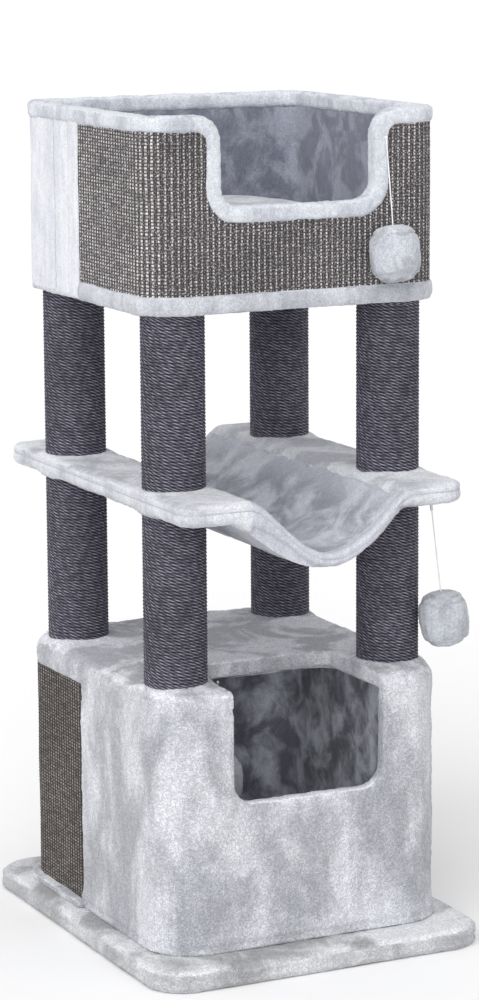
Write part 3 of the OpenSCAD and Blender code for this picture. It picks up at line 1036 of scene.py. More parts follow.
@dataclass(frozen=True)
class Sun:
    """One broad, distant light."""

    name: str
    heading: Triple
    strength: float
    spread: float

    def build(self) -> Piece:
        """Hangs the light; its heading is the way that its light travels."""
        data = bpy.data.lights.new(self.name, "SUN")
        data.energy = self.strength
        data.angle = math.radians(self.spread)
        lamp = new_object(self.name, data)
        lamp.rotation_mode = "QUATERNION"
        lamp.rotation_quaternion = Vector(self.heading).to_track_quat("-Z", "Y")
        lamp.location = -4 * Vector(self.heading).normalized()
        return lamp


@dataclass(frozen=True)
class Studio:
    """Camera, floor and lights."""

    place: Triple = (-2.2854, -4.6960, 1.6583)
    heading: Triple = (0.4330, 0.8827, -0.1822)
    roll: float = -0.37
    lens: float = 118.6
    floor_size: float = 120.0
    floor_tone: float = 0.76
    shown_tone: float = 0.945
    sky: float = 0.77
    suns: tuple[Sun, ...] = (
        Sun("key", (0.75, 0.62, -0.72), 1.52, 60),
        Sun("fill", (0.43, 0.88, -0.18), 0.50, 22),
    )

    def camera(self) -> Piece:
        """Sets up the camera."""
        data = bpy.data.cameras.new("camera")
        data.lens = self.lens
        data.sensor_width = 36
        data.clip_start = 0.1
        data.clip_end = 200
        ahead = Vector(self.heading).normalized()
        level = ahead.cross(Vector((0, 0, 1))).normalized()
        above = level.cross(ahead)
        turn = math.radians(self.roll)
        right = level * math.cos(turn) + above * math.sin(turn)
        top = above * math.cos(turn) - level * math.sin(turn)
        camera = new_object("camera", data)
        turned = Matrix((right, top, -ahead)).transposed().to_4x4()
        camera.matrix_world = Matrix.Translation(self.place) @ turned
        bpy.context.scene.camera = camera
        return camera

    def floor(self) -> Piece:
        """Lays the pale floor."""
        bm = bmesh.new()
        bmesh.ops.create_grid(bm, x_segments=1, y_segments=1, size=self.floor_size / 2)
        bmesh.ops.translate(bm, vec=(0, 0, -0.5 * MM), verts=bm.verts[:])
        floor = to_object(bm, "floor")
        g = Graph("floor_paint")
        seen = g.add("LightPath").outputs["Is Camera Ray"]
        tones = ((tone, tone, tone * 1.004) for tone in (self.floor_tone, self.shown_tone))
        floor.data.materials.append(g.finish(g.blend(seen, *tones), 0.95, Specular_IOR_Level=0.0))
        return floor

    def build(self) -> None:
        """Builds the studio."""
        self.camera()
        self.floor()
        for sun in self.suns:
            sun.build()
        world = bpy.data.worlds.new("sky")
        world.use_nodes = True
        tree = world.node_tree
        tree.nodes["Background"].inputs[0].default_value = (1, 1, 1, 1)
        seen = tree.nodes.new("ShaderNodeMapRange")
        seen.inputs["To Min"].default_value = self.sky
        tree.links.new(tree.nodes.new("ShaderNodeLightPath").outputs["Is Camera Ray"], seen.inputs["Value"])
        tree.links.new(seen.outputs["Result"], tree.nodes["Background"].inputs[1])
        scene = bpy.context.scene
        scene.world = world
        scene.view_settings.view_transform = "Standard"
        LOG.info("studio: camera, floor and %d lights", len(self.suns))


# ---- Toys ----


@dataclass(frozen=True)
class Toy:
    """Plush ball on a string, hung from a knot."""

    name: str
    start: Triple
    fall: Triple
    thick: float = 2 * MM
    cap: tuple[float, float] = (30 * MM, 34 * MM)
    hem: tuple[float, float] = (-35 * MM, 40 * MM)
    foot: float = 31 * MM
    dent: float = 3 * MM
    sleeve: float = 0.0
    sleeve_at: float = 5 * MM

    def string(self) -> Piece:
        """Makes the string, a cord."""
        start, fall, steps = Vector(self.start), Vector(self.fall), 14
        points = [start + fall * i / steps for i in range(steps + 1)]
        cord = wire(self.name + "_cord", points, self.thick, False, 2)
        return attach(cord, Finish.STRING, "string", self.name + "_string", body=self.name)

    def ball(self) -> Piece:
        """Makes the ball: a plush barrel with a cap seam above and a disc seam below."""
        obj = soft_copy(self.name + "_plush", 2.2 * MM, 2, self.name + "_ball")
        low_end, high_end = low(self.name + "_ball"), high(self.name + "_ball")
        middle = (low_end + high_end) / 2
        up = -Vector(self.fall).normalized()
        core, under, deep, shallow = 20 * MM, -38 * MM, 2.2 * MM, 1.6 * MM

        def relief(p: Vector, _: Vector) -> float:
            """Height of the ball's seams.

            Args:
                p: A point of the ball.
            Returns:
                How far the ball stands out there.
            """
            from_middle = p - middle
            along = from_middle.dot(up)
            away = (from_middle - up * along).length
            cap = ridge(along - self.cap[0], self.dent) if away > core else 0.0
            disc = ridge(away - self.foot, self.dent) if along < under else 0.0
            hem = ridge(along - self.hem[0], self.dent) if away > core else 0.0
            return -deep * max(cap, disc) - shallow * hem

        sculpt(obj, Pile(1.0, 40, 0.8, 14, 0.9, 5, 11.0 + len(self.name)), relief)
        # Grey rings of painted seam shade in the cap and hem seams.
        side, count = up.orthogonal().normalized(), 48
        for name, (along, away) in (("cap", self.cap), ("hem", self.hem)):
            turns = (Matrix.Rotation(2 * math.pi * i / count, 3, up) for i in range(count))
            ring = tuple(turn @ side * away + middle + up * along for turn in turns)
            Seam(f"{self.name}_{name}_seam", ring, True, 0.9 * MM).sew(obj, self.name)
        return attach(obj, Finish.BALL, "plush", self.name + "_ball", body=self.name)

    def crimp(self) -> Piece:
        """Makes the clear sleeve that holds the string's loop together near its top."""
        down = Vector(self.fall).normalized()
        bm = bmesh.new()
        size = {"radius1": 2.4 * MM, "radius2": 2.4 * MM, "depth": self.sleeve}
        bmesh.ops.create_cone(bm, cap_ends=True, segments=20, **size)
        ends = [e for e in bm.edges if abs(e.verts[0].co.z - e.verts[1].co.z) < SAME]
        bmesh.ops.bevel(bm, geom=ends, offset=0.8 * MM, segments=3, profile=0.5, affect="EDGES", material=-1)
        turn = down.to_track_quat("Z", "Y").to_matrix()
        bmesh.ops.rotate(bm, cent=(0, 0, 0), matrix=turn, verts=bm.verts[:])
        middle = Vector(self.start) + down * (self.sleeve / 2 + self.sleeve_at)
        bmesh.ops.translate(bm, vec=middle, verts=bm.verts[:])
        obj = smooth(to_object(bm, self.name + "_crimp"), 50)
        return attach(obj, Finish.SLEEVE, "string", body=self.name)

    def build(self) -> None:
        """Makes all of the toy but its string, which is made with the cords."""
        self.ball()
        if self.sleeve:
            self.crimp()
        dress_nodes(Finish.STRING, self.name + "_knot")


# ---- Base ----


@dataclass(frozen=True)
class Base:
    """Board wrapped in plush."""

    corner: float = 64 * MM
    edge: float = 13 * MM
    cover: float = 8 * MM
    hem: float = 60 * MM
    slack: float = 0.1 * MM
    top: float = 8 * MM
    foot: float = 3 * MM
    drawn: float = 1 * MM
    voxel: float = 4 * MM
    roll: Line = Line(1.5, -18, 14)
    rim_dent: Line = Line(-0.8, 14, 5)
    bulge: float = 1.4 * MM
    fold_at: float = 17 * MM
    fold_length: float = 55 * MM
    fold_depth: float = 2.6 * MM
    fold_width: float = 4 * MM

    def build(self) -> None:
        """Builds the base's plush."""
        lo, hi = low("base_plush"), high("base_plush")
        outline = Outline(hi.x - lo.x, hi.y - lo.y, self.corner)
        obj = outline.solid("base_cover", lo.z, hi.z)
        soften(obj, self.voxel, 3)
        round_over(obj, outline, hi.z, self.edge)
        cave = Cave().outline()

        def relief(p: Vector, _: Vector) -> float:
            """Height of the roll round the cave, the edge and the folds of the sides.

            Args:
                p: A point of the cover.
            Returns:
                How far the cover stands out there.
            """
            inside, _ = outline.inside(p)
            if p.z > hi.z - self.top:
                near, _ = cave.inside(p)
                return self.roll.rise(near) + self.rim_dent.rise(inside)
            if p.z < lo.z + self.foot:
                return -self.drawn
            along = (p.x - p.y) / self.fold_length
            fold = lo.z + self.fold_at + 3 * MM * math.sin(along) + 2 * MM * math.sin(2.7 * along + 1)
            depth = self.fold_depth * step(noise.noise(Vector((along * 0.4, 0, 5))), 0.0, 0.5)
            return self.bulge - depth * ridge(p.z - fold, self.fold_width)

        sculpt(obj, Pile(1.0, 110, 0.7, 26, 0.8, 8, 1.0), relief, floor=lo.z)
        board_lo, board_hi = low("base_board"), high("base_board")
        board = outline.grown(-self.cover)
        carve(obj, board.solid("cavity", board_lo.z - self.slack, board_hi.z + self.slack))
        opening = outline.grown(-self.hem)
        carve(obj, opening.solid("hem", lo.z - self.cover, board_lo.z + self.cover / 2))
        attach(smooth(obj), Finish.BASE, "plush", "base_plush")
        dress_nodes(Finish.BOARD, "base_board")


# ---- Cave ----


@dataclass(frozen=True)
class Cave:
    """Sleeping cave with a cut-away entry."""

    corner: float = 80 * MM
    edge: float = 25 * MM
    seam: float = 43 * MM
    fold: Line = Line(-2.4, 22, 4)
    crease: Line = Line(-3.5, 10, 4.5)
    seam_dent: Line = Line(-2.2, 0, 4)
    post_roll: Line = Line(4.0, 50, 10)
    trim_side: Fade = Fade(12, 30)
    trim_head: Fade = Fade(-6, 10)
    lip_foot: Fade = Fade(58, 16)
    lip_head: Fade = Fade(10, 12)
    lip_side: Fade = Fade(24, 30)
    lip_depth: Fade = Fade(45, 28)
    tuck_edge: Fade = Fade(14, 28)
    entry_half: float = 130 * MM
    slot_half: float = 125 * MM
    slot_depth: float = 189 * MM
    tuck: float = 9 * MM
    sill: float = 268 * MM
    skin: float = 6 * MM
    rim: float = 14 * MM
    seam_length: float = 70 * MM
    voxel: float = 4.5 * MM

    def outline(self) -> Outline:
        """Outline of the cave over its plush."""
        hi = high("cave_top_plush")
        return Outline(2 * hi.x, 2 * hi.y, self.corner)

    def cover(self) -> Piece:
        """Plush over the front and the top."""
        outline, top = self.outline(), high("cave_top_plush").z
        foot = low("cave_front_plush").z
        centre = (low("lower_rope_fr") + high("lower_rope_fr")) / 2
        obj = soft_copy("cave_cover", self.voxel, 3, "cave_front_plush", "cave_top_plush")
        round_over(obj, outline, top, self.edge)
        entry, slot, front, under = self.entry_half, self.slot_half, *low("cave_top_plush").yz

        def trimmed(p: Vector, _: Vector) -> Vector:
            """Move that lines the entry's sides up with the slot's.

            Args:
                p: A point of the cover.
            Returns:
                Its move.
            """
            if not slot - 12 * MM < abs(p.x) < entry + 30 * MM or p.y > front + 190 * MM:
                return Vector()
            fall = 1 - self.trim_side.share(abs(p.x) - entry)
            up = self.trim_head.share(p.z - under)
            return Vector((math.copysign((entry - slot) * 0.8 * fall * up, p.x), 0, 0))

        move_points(obj, trimmed)

        def relief(p: Vector, n: Vector) -> float:
            """Height of the cover's seams and its rolls round the posts.

            Args:
                p: A point of the cover.
                n: Its normal.
            Returns:
                How far the cover stands out there.
            """
            inside, _ = outline.inside(p)
            rise = 0.0
            if n.z > 0.4 and p.z > top - self.rim:
                if p.y < self.seam:
                    rise += self.fold.rise(inside)
                away = math.hypot(abs(p.x) - centre.x, abs(p.y) - abs(centre.y))
                rise += self.post_roll.rise(away)
            if inside < self.skin:
                if p.z > top - self.seam_length:
                    rise += self.seam_dent.rise(p.y - self.seam)
                rise += self.crease.rise(p.z - foot)
            return rise

        def share(p: Vector, n: Vector) -> float:
            """Share of the pile, less on the entry's narrow lips."""
            _, out = outline.inside(p)
            return 0.25 + 0.75 * step(max(n.dot(out), n.z), 0.75, 0.4)

        pile = Pile(2.0, 130, 1.4, 34, 1.3, 9, 2.0)
        sculpt(obj, pile, relief, share=share)
        self.set_lips(obj)
        return attach(obj, Finish.CAVE, "plush", "cave_front_plush", "cave_top_plush")

    def set_lips(self, obj: Piece) -> None:
        """Sets the upright lips of the entry straight.

        Args:
            obj: The cover.
        """
        front, top = -high("cave_top_plush").y, high("cave_top_plush").z
        row, face, foot, head = 6 * MM, 30 * MM, self.sill + 40 * MM, top - 110 * MM
        for side in (-1, 1):
            reach: dict[int, float] = {}
            for vertex in obj.data.vertices:
                x, y, z = vertex.co
                if side * x > 0 and y < front + face and z > foot:
                    number = round(z / row)
                    reach[number] = min(reach.get(number, 1.0), side * x)
            plain = sorted(reach[n] for n in reach if n * row < head)
            aim = plain[len(plain) // 2]

            def shift(p: Vector, _: Vector) -> Vector:
                """Move that brings this side to the straight lip.

                Args:
                    p: A point of the cover.
                Returns:
                    Its move.
                """
                number = math.floor(p.z / row)
                if side * p.x < 0 or p.y > front + 2 * face or not {number, number + 1} <= reach.keys():
                    return Vector()
                share = p.z / row - number
                edge = reach[number] * (1 - share) + reach[number + 1] * share
                fade = self.lip_foot.share(p.z - self.sill) * self.lip_head.share(top - p.z)
                fade *= 1 - self.lip_side.share(side * p.x - edge)
                fade *= 1 - self.lip_depth.share(p.y - front)
                return Vector((side * (aim - edge) * fade, 0, 0))

            move_points(obj, shift)

    def roll(self) -> Piece:
        """Plush roll at the foot of the mat."""
        obj = soft_copy("cave_roll", 3 * MM, 6, "cave_foot_trim")
        end, drawn = low("cave_foot_trim").y, 16 * MM
        move_points(obj, lambda p, n: Vector((0, -drawn * (1 - step(p.y, end + drawn / 2, drawn)), 0)))
        sculpt(obj, Pile(1.0, 60, 0.8, 20, 0.8, 7, 3.0))
        return attach(obj, Finish.CAVE, "plush", "cave_foot_trim")

    def lining(self) -> Piece:
        """Dark plush inside the cave."""
        obj = soft_copy("cave_inside", 5.5 * MM, 1, "cave_lining", "cave_roof_lining", "cave_floor_pad")
        front, roof = -high("cave_top_plush").y, low("cave_roof_lining").z

        def tucked(p: Vector, _: Vector) -> Vector:
            """Move that tucks the roof's edge behind the plush of the slot.

            Args:
                p: A point of the lining.
            Returns:
                Its move.
            """
            if p.z < roof - 3 * MM or p.y < front + 40 * MM:
                return Vector()
            behind, beside = p.y - front - self.slot_depth, abs(p.x) - self.slot_half
            away = max(behind, beside)
            if away > 30 * MM or away < -12 * MM:
                return Vector()
            fall = 1 - self.tuck_edge.share(away)
            way = (math.copysign(fall * (beside > behind), p.x), fall * (behind >= beside), 0)
            return Vector(way) * self.tuck

        move_points(obj, tucked)
        inner = self.outline().grown(-22 * MM)

        def relief(p: Vector, n: Vector) -> float:
            """Height of the lining's slack folds.

            Args:
                p: A point of the lining.
                n: Its normal.
            Returns:
                How far the lining stands out there.
            """
            inside, _ = inner.inside(p)
            if abs(n.z) > 0.6:
                return 1.5 * MM * noise.noise(Vector((p.x, p.y, 3)) / (60 * MM))
            if inside <= -4 * MM:
                return 0.0
            along = math.atan2(p.y, p.x) * 0.25
            return 2.2 * MM * noise.noise(Vector((along, 0, p.z * 0.25)) / (35 * MM))

        sculpt(obj, Pile(1.8, 110, 1.2, 30, 0.6, 12, 4.0), relief)
        return attach(obj, Finish.DARK, "dark_plush", "cave_lining", "cave_roof_lining", "cave_floor_pad")

    def mats(self) -> None:
        """Woven scratching mats round the back."""
        foot, top = low("cave_back_mat").z, high("cave_back_mat").z
        outline = self.outline().grown(-MAT_INSET)
        weave = WovenMat(outline, foot - MAT_OVERLAP, top + MAT_OVERLAP)
        start, half = outline.reach(self.seam), outline.halfway()
        for name, ends in (("cave_mat_right", (start, half)), ("cave_mat_left", (half, 2 * half - start))):
            attach(weave.build(name, *ends), Finish.CAVE_MAT, "woven_mat")
        dress_nodes(Finish.BACKING, "cave_back_mat")

    def build(self) -> None:
        """Builds the cave's soft pieces and finishes its panels."""
        self.cover()
        self.roll()
        self.lining()
        self.mats()
        dress_nodes(Finish.PANEL, "cave_wall_front", "cave_wall_back")
        dress_nodes(Finish.BOARD, "cave_top_board")


# ---- Posts ----


@dataclass(frozen=True)
class Posts:
    """Eight posts wound with sisal rope."""

    rope: float = 6 * MM
    pitch: float = 5.6 * MM
    steps: int = 30
    sides: int = 8
    turn: float = 1.9
    groups: tuple[str, ...] = ("lower", "upper")
    corners: tuple[str, ...] = ("fl", "fr", "bl", "br")

    def coil(self, name: str, node: str) -> Piece:
        """Winds the rope of one post.

        Args:
            name: Name of the piece.
            node: The frame node that it stands for.
        Returns:
            The rope, with UV along it in metres and round it in turns.
        """
        lo, hi = low(node), high(node)
        centre = (lo + hi) / 2
        radius = (hi.x - lo.x) / 2 - self.rope / 2
        foot, rise = lo.z + self.rope / 2, hi.z - lo.z - self.rope
        turns = rise / self.pitch + 1
        count = round(turns * self.steps)
        bm = bmesh.new()
        bmesh.ops.create_circle(bm, cap_ends=False, segments=self.sides, radius=self.rope / 2)
        bmesh.ops.rotate(bm, cent=(0, 0, 0), matrix=Matrix.Rotation(math.pi / 2, 3, "X"), verts=bm.verts[:])
        bmesh.ops.translate(bm, vec=(centre.x + radius, centre.y, foot), verts=bm.verts[:])
        bmesh.ops.spin(
            bm, geom=bm.verts[:] + bm.edges[:], cent=(centre.x, centre.y, 0), axis=(0, 0, 1),
            dvec=(0, 0, 0), angle=-2 * math.pi * turns, steps=count, use_merge=False,
        )
        uv = bm.loops.layers.uv.new("UVMap")
        bm.verts.index_update()
        for vert in bm.verts:
            wound = vert.index // self.sides / self.steps - 0.5
            vert.co.z += min(max(wound * self.pitch, 0.0), rise)
        run = 2 * math.pi * radius * turns / count
        for face in bm.faces:
            rounds = [loop.vert.index % self.sides for loop in face.loops]
            wraps = 0 in rounds and self.sides - 1 in rounds
            for loop, at in zip(face.loops, rounds):
                turn = (at + self.sides if wraps and at == 0 else at) / self.sides
                loop[uv].uv = (loop.vert.index // self.sides * run, turn)
        bmesh.ops.holes_fill(bm, edges=[e for e in bm.edges if e.is_boundary], sides=self.sides)
        return smooth(to_object(bm, name))

    def again(self, coil: Piece, name: str, first: str, node: str, turn: float) -> Piece:
        """Copies a wound rope to another post.

        Args:
            coil: The rope of the first post.
            name: Name of the copy.
            first: The frame node of the first post.
            node: The frame node that the copy stands for.
            turn: How far the copy is turned about its post.
        Returns:
            The copy.
        """
        mesh = coil.data.copy()
        here, there = (low(first) + high(first)) / 2, (low(node) + high(node)) / 2
        mesh.transform(Matrix.Translation(there) @ Matrix.Rotation(turn, 4, "Z") @ Matrix.Translation(-here))
        return new_object(name, mesh)

    def build(self) -> None:
        """Winds all the posts and finishes their tubes and fasteners."""
        for group in self.groups:
            first = f"{group}_rope_{self.corners[0]}"
            coil = self.coil(f"{group}_coil_{self.corners[0]}", first)
            for number, corner in enumerate(self.corners):
                node = f"{group}_rope_{corner}"
                name = f"{group}_coil_{corner}"
                piece = self.again(coil, name, first, node, number * self.turn) if number else coil
                attach(piece, Finish.ROPE, "sisal_rope", node)
                dress_nodes(Finish.CARD, f"{group}_tube_{corner}")
        dress_nodes(Finish.BOARD, "post_plugs")
        dress_nodes(Finish.STEEL, "post_inserts", "post_bolts", "post_washers", "tier_studs")


# ---- Hammock tier ----


@dataclass(frozen=True)
class HammockTier:
    """Two board-stiffened wings with a padded hammock between them, under one sewn cover."""

    dip: float = 92 * MM
    low_x: float = 6 * MM
    left: tuple[float, float] = (138 * MM, 1.55)
    right: tuple[float, float] = (133 * MM, 1.0)
    tuck: float = 12 * MM
    droop: tuple[float, float] = (34 * MM, 16 * MM)
    shoulder: float = 0.87
    blend: float = 7 * MM
    thick: float = 22 * MM
    lip: Line = Line(1.0, 7, 4)
    rim_seam: Line = Line(-2.4, 0, 3.2)
    hem: Line = Line(-2.6, 0, 3.6)
    post_roll: Line = Line(3.5, 50, 9)
    dart: Line = Line(-3.0, 0, 7)
    edge: float = 14 * MM
    seam: float = 13 * MM
    band: float = 20 * MM
    corner: float = 34 * MM
    stand: tuple[float, float] = (186.5 * MM, 189 * MM)
    skin: float = 9 * MM
    slack: float = 2.4 * MM
    slack_size: float = 55 * MM
    voxel: float = 3.6 * MM

    @property
    def half(self) -> float:
        """Half the hammock's width, between the wings."""
        return low("wing_sleeve_right").x

    def outline(self) -> Outline:
        """Outline of the whole cover."""
        hi = high("wing_sleeve_right")
        return Outline(2 * hi.x, 2 * hi.y, self.corner)

    def height(self, x: float) -> float:
        """Height of the cover's upper face.

        Args:
            x: Place across the tier.
        Returns:
            The height, level over the wings and dipping between them.
        """
        top, half = high("wing_sleeve_left").z, self.half
        reach, power = self.left if x < self.low_x else self.right
        inner = max(-half, min(half, x))
        sag = math.cos(min(math.pi / 2, math.pi / 2 * abs(inner - self.low_x) / reach))
        rise = top - self.dip * sag ** power + max(0.0, abs(x) - half) * self.shoulder
        share = min(max(0.5 + 0.5 * (top - rise) / self.blend, 0), 1)
        return top * (1 - share) + rise * share - self.blend * share * (1 - share) * 0.8

    def under(self, x: float) -> float:
        """Height that the left wing's underside droops to near the hammock."""
        length, depth = self.droop
        near = max(0.0, 1 - (-self.half - x) / length)
        return low("wing_sleeve_left").z - depth * near ** 1.5

    def whole(self) -> Piece:
        """The cover as one closed solid, before its seams."""
        half, length = self.half, self.droop[0]
        lo, hi = low("wing_sleeve_right"), high("wing_sleeve_right")
        parts, spare = [], 40 * MM
        for sign, near, far in ((-1, -half, 1), (1, -1, half)):
            middle = sign * ((lo.x + hi.x) / 2 - spare)
            box = Outline(hi.x - lo.x + 2 * spare, hi.y - lo.y, self.corner, middle)
            end = block("end", (near, -1, 0), (far, 1, 2))
            parts.append(carve(box.solid("wing_stock", lo.z, hi.z), end))
        sling = soft_copy("sling_stock", 0, 0, "hammock_sling")

        def lengthened(p: Vector, _: Vector) -> Vector:
            """Move that tucks the hammock's ends into the wings.

            Args:
                p: A point of the hammock.
            Returns:
                Its move.
            """
            if abs(p.x) < half - 1 * MM:
                return Vector()
            rise = 0.0
            if p.x < 0 and p.z < low("wing_sleeve_left").z:
                rise = self.under(-half - self.tuck) - p.z + 2 * MM
            return Vector((math.copysign(self.tuck, p.x), 0, rise))

        move_points(sling, lengthened)
        back = Vector((-half + 2 * MM, hi.y - 3 * MM, lo.z + 9 * MM))
        wedge = block("wedge", (-half - length, lo.y + 3 * MM, low("hammock_sling").z), back)
        for vert in wedge.data.vertices:
            if vert.co.z < lo.z:
                vert.co.z = lo.z + 2 * MM if vert.co.x < -half - 1 * MM else lo.z - self.droop[1]
        parts += [sling, wedge]
        return soften(merge("tier_cover", parts), self.voxel, 2)

    def rounded(self, p: Vector, _: Vector) -> Vector:
        """Rounds the cover's outer edges and its shoulders towards the hammock.

        Args:
            p: A point of the cover.
        Returns:
            Its move.
        """
        ceiling, half = self.height(p.x), self.half
        move = Vector((0, 0, min(0.0, ceiling - p.z)))
        if abs(p.x) > half:
            base = self.under(p.x) if p.x < 0 else low("wing_sleeve_right").z
            radius = min(self.edge, (ceiling - base) / 2)
            inside, out = self.outline().inside(p)
            upper, lower = ceiling - radius, base + radius
        else:
            thick, start = self.thick, 60 * MM
            if p.x < 0:
                thick += 20 * MM * max(0.0, (-p.x - start) / (half - start))
            radius = min(self.edge, thick / 2)
            inside, out = high("wing_sleeve_right").y - abs(p.y), Vector((0, math.copysign(1, p.y), 0))
            upper, lower = ceiling - radius, ceiling - thick + radius
        across = radius - inside
        z = p.z + move.z
        off = z - upper if z > upper else min(0.0, z - lower)
        reach = math.hypot(across, off)
        if across <= 0 or off == 0 or reach <= radius:
            return move
        share = 1 - radius / reach
        return move - out * (across * share) - Vector((0, 0, off * share))

    def relief(self, p: Vector, n: Vector) -> float:
        """Height of the cover's seams, its hem band and its folds.

        Args:
            p: A point of the cover.
            n: Its normal.
        Returns:
            How far the cover stands out there.
        """
        half, ceiling = self.half, self.height(p.x)
        edge = high("wing_sleeve_right").y - abs(p.y)
        inside, _ = self.outline().inside(p)
        rise = 0.0
        if inside < self.skin or edge < self.skin:
            off = p.z - self.line(p.x)
            rise += self.lip.rise(off) + self.rim_seam.rise(off)
        if n.z > 0.3 and abs(p.x) < half + 12 * MM:
            rise += self.hem.rise(edge - self.band)
            slack = noise.noise(Vector((p.x / 2.2, p.y, 0)) / self.slack_size)
            rise += self.slack * slack * step(edge, self.band, self.band)
        away = math.hypot(abs(p.x) - self.stand[0], abs(p.y) - self.stand[1])
        if abs(n.z) > 0.5:
            rise += self.post_roll.rise(away)
        if edge < 12 * MM and p.x > 0:
            rise += self.dart.rise(math.hypot(p.x - half + 2 * MM, p.z - ceiling + 16 * MM))
        return rise

    def line(self, x: float) -> float:
        """Height of the seam round the cover's edge."""
        ceiling = self.height(x)
        return ceiling - self.seam + 4 * MM * (high("wing_sleeve_right").z - ceiling) / self.dip

    def seams(self, whole: Piece) -> None:
        """Lays lines of painted seam shade round the edge and along the hem lines of the hammock.

        Args:
            whole: The cover.
        """
        hi, half = high("wing_sleeve_right"), self.half
        outline, count, steps = self.outline(), 420, 90
        reach = outline.halfway()
        spots = [outline.spot(-reach + 2 * reach * i / count)[0] for i in range(count)]
        Seam("tier_seam", tuple(Vector((p.x, p.y, self.line(p.x))) for p in spots), True).sew(whole)
        for name, y in (("hem_front", self.band - hi.y), ("hem_back", hi.y - self.band)):
            xs = (half * (2 * i / steps - 1) for i in range(steps + 1))
            Seam(name, tuple(Vector((x, y, self.height(x))) for x in xs)).sew(whole)

    def slice(self, name: str, whole: Piece, cuts: Sequence[tuple[float, int]]) -> Piece:
        """Cuts one closed piece out of the cover.

        Args:
            name: Name of the piece.
            whole: The cover.
            cuts: Upright cuts, each a place across the tier and the side that falls away.
        Returns:
            The piece.
        """
        bm = bmesh.new()
        bm.from_mesh(whole.data)
        for x, side in cuts:
            made = bmesh.ops.bisect_plane(
                bm, geom=bm.verts[:] + bm.edges[:] + bm.faces[:], dist=SAME,
                plane_co=(x, 0, 0), plane_no=(side, 0, 0), clear_outer=True,
            )
            rim = [e for e in made["geom_cut"] if isinstance(e, bmesh.types.BMEdge)]
            bmesh.ops.holes_fill(bm, edges=rim, sides=0)
        return smooth(to_object(bm, name), 55)

    def build(self) -> None:
        """Builds the wings' covers and the hammock."""
        half, whole = self.half, self.whole()
        move_points(whole, self.rounded)
        sculpt(whole, Pile(1.4, 90, 1.0, 28, 0.9, 8, 5.0), self.relief)
        self.seams(whole)
        left = self.slice("wing_cover_left", whole, [(-half, 1)])
        right = self.slice("wing_cover_right", whole, [(half, -1)])
        sling = self.slice("hammock", whole, [(half, 1), (-half, -1)])
        drop(whole)
        attach(left, Finish.WING, "plush", "wing_sleeve_left")
        attach(right, Finish.WING, "plush", "wing_sleeve_right")
        attach(sling, Finish.SLING, "plush", "hammock_sling")
        dress_nodes(Finish.BOARD, "wing_board_left", "wing_board_right")


# ---- Bed ----


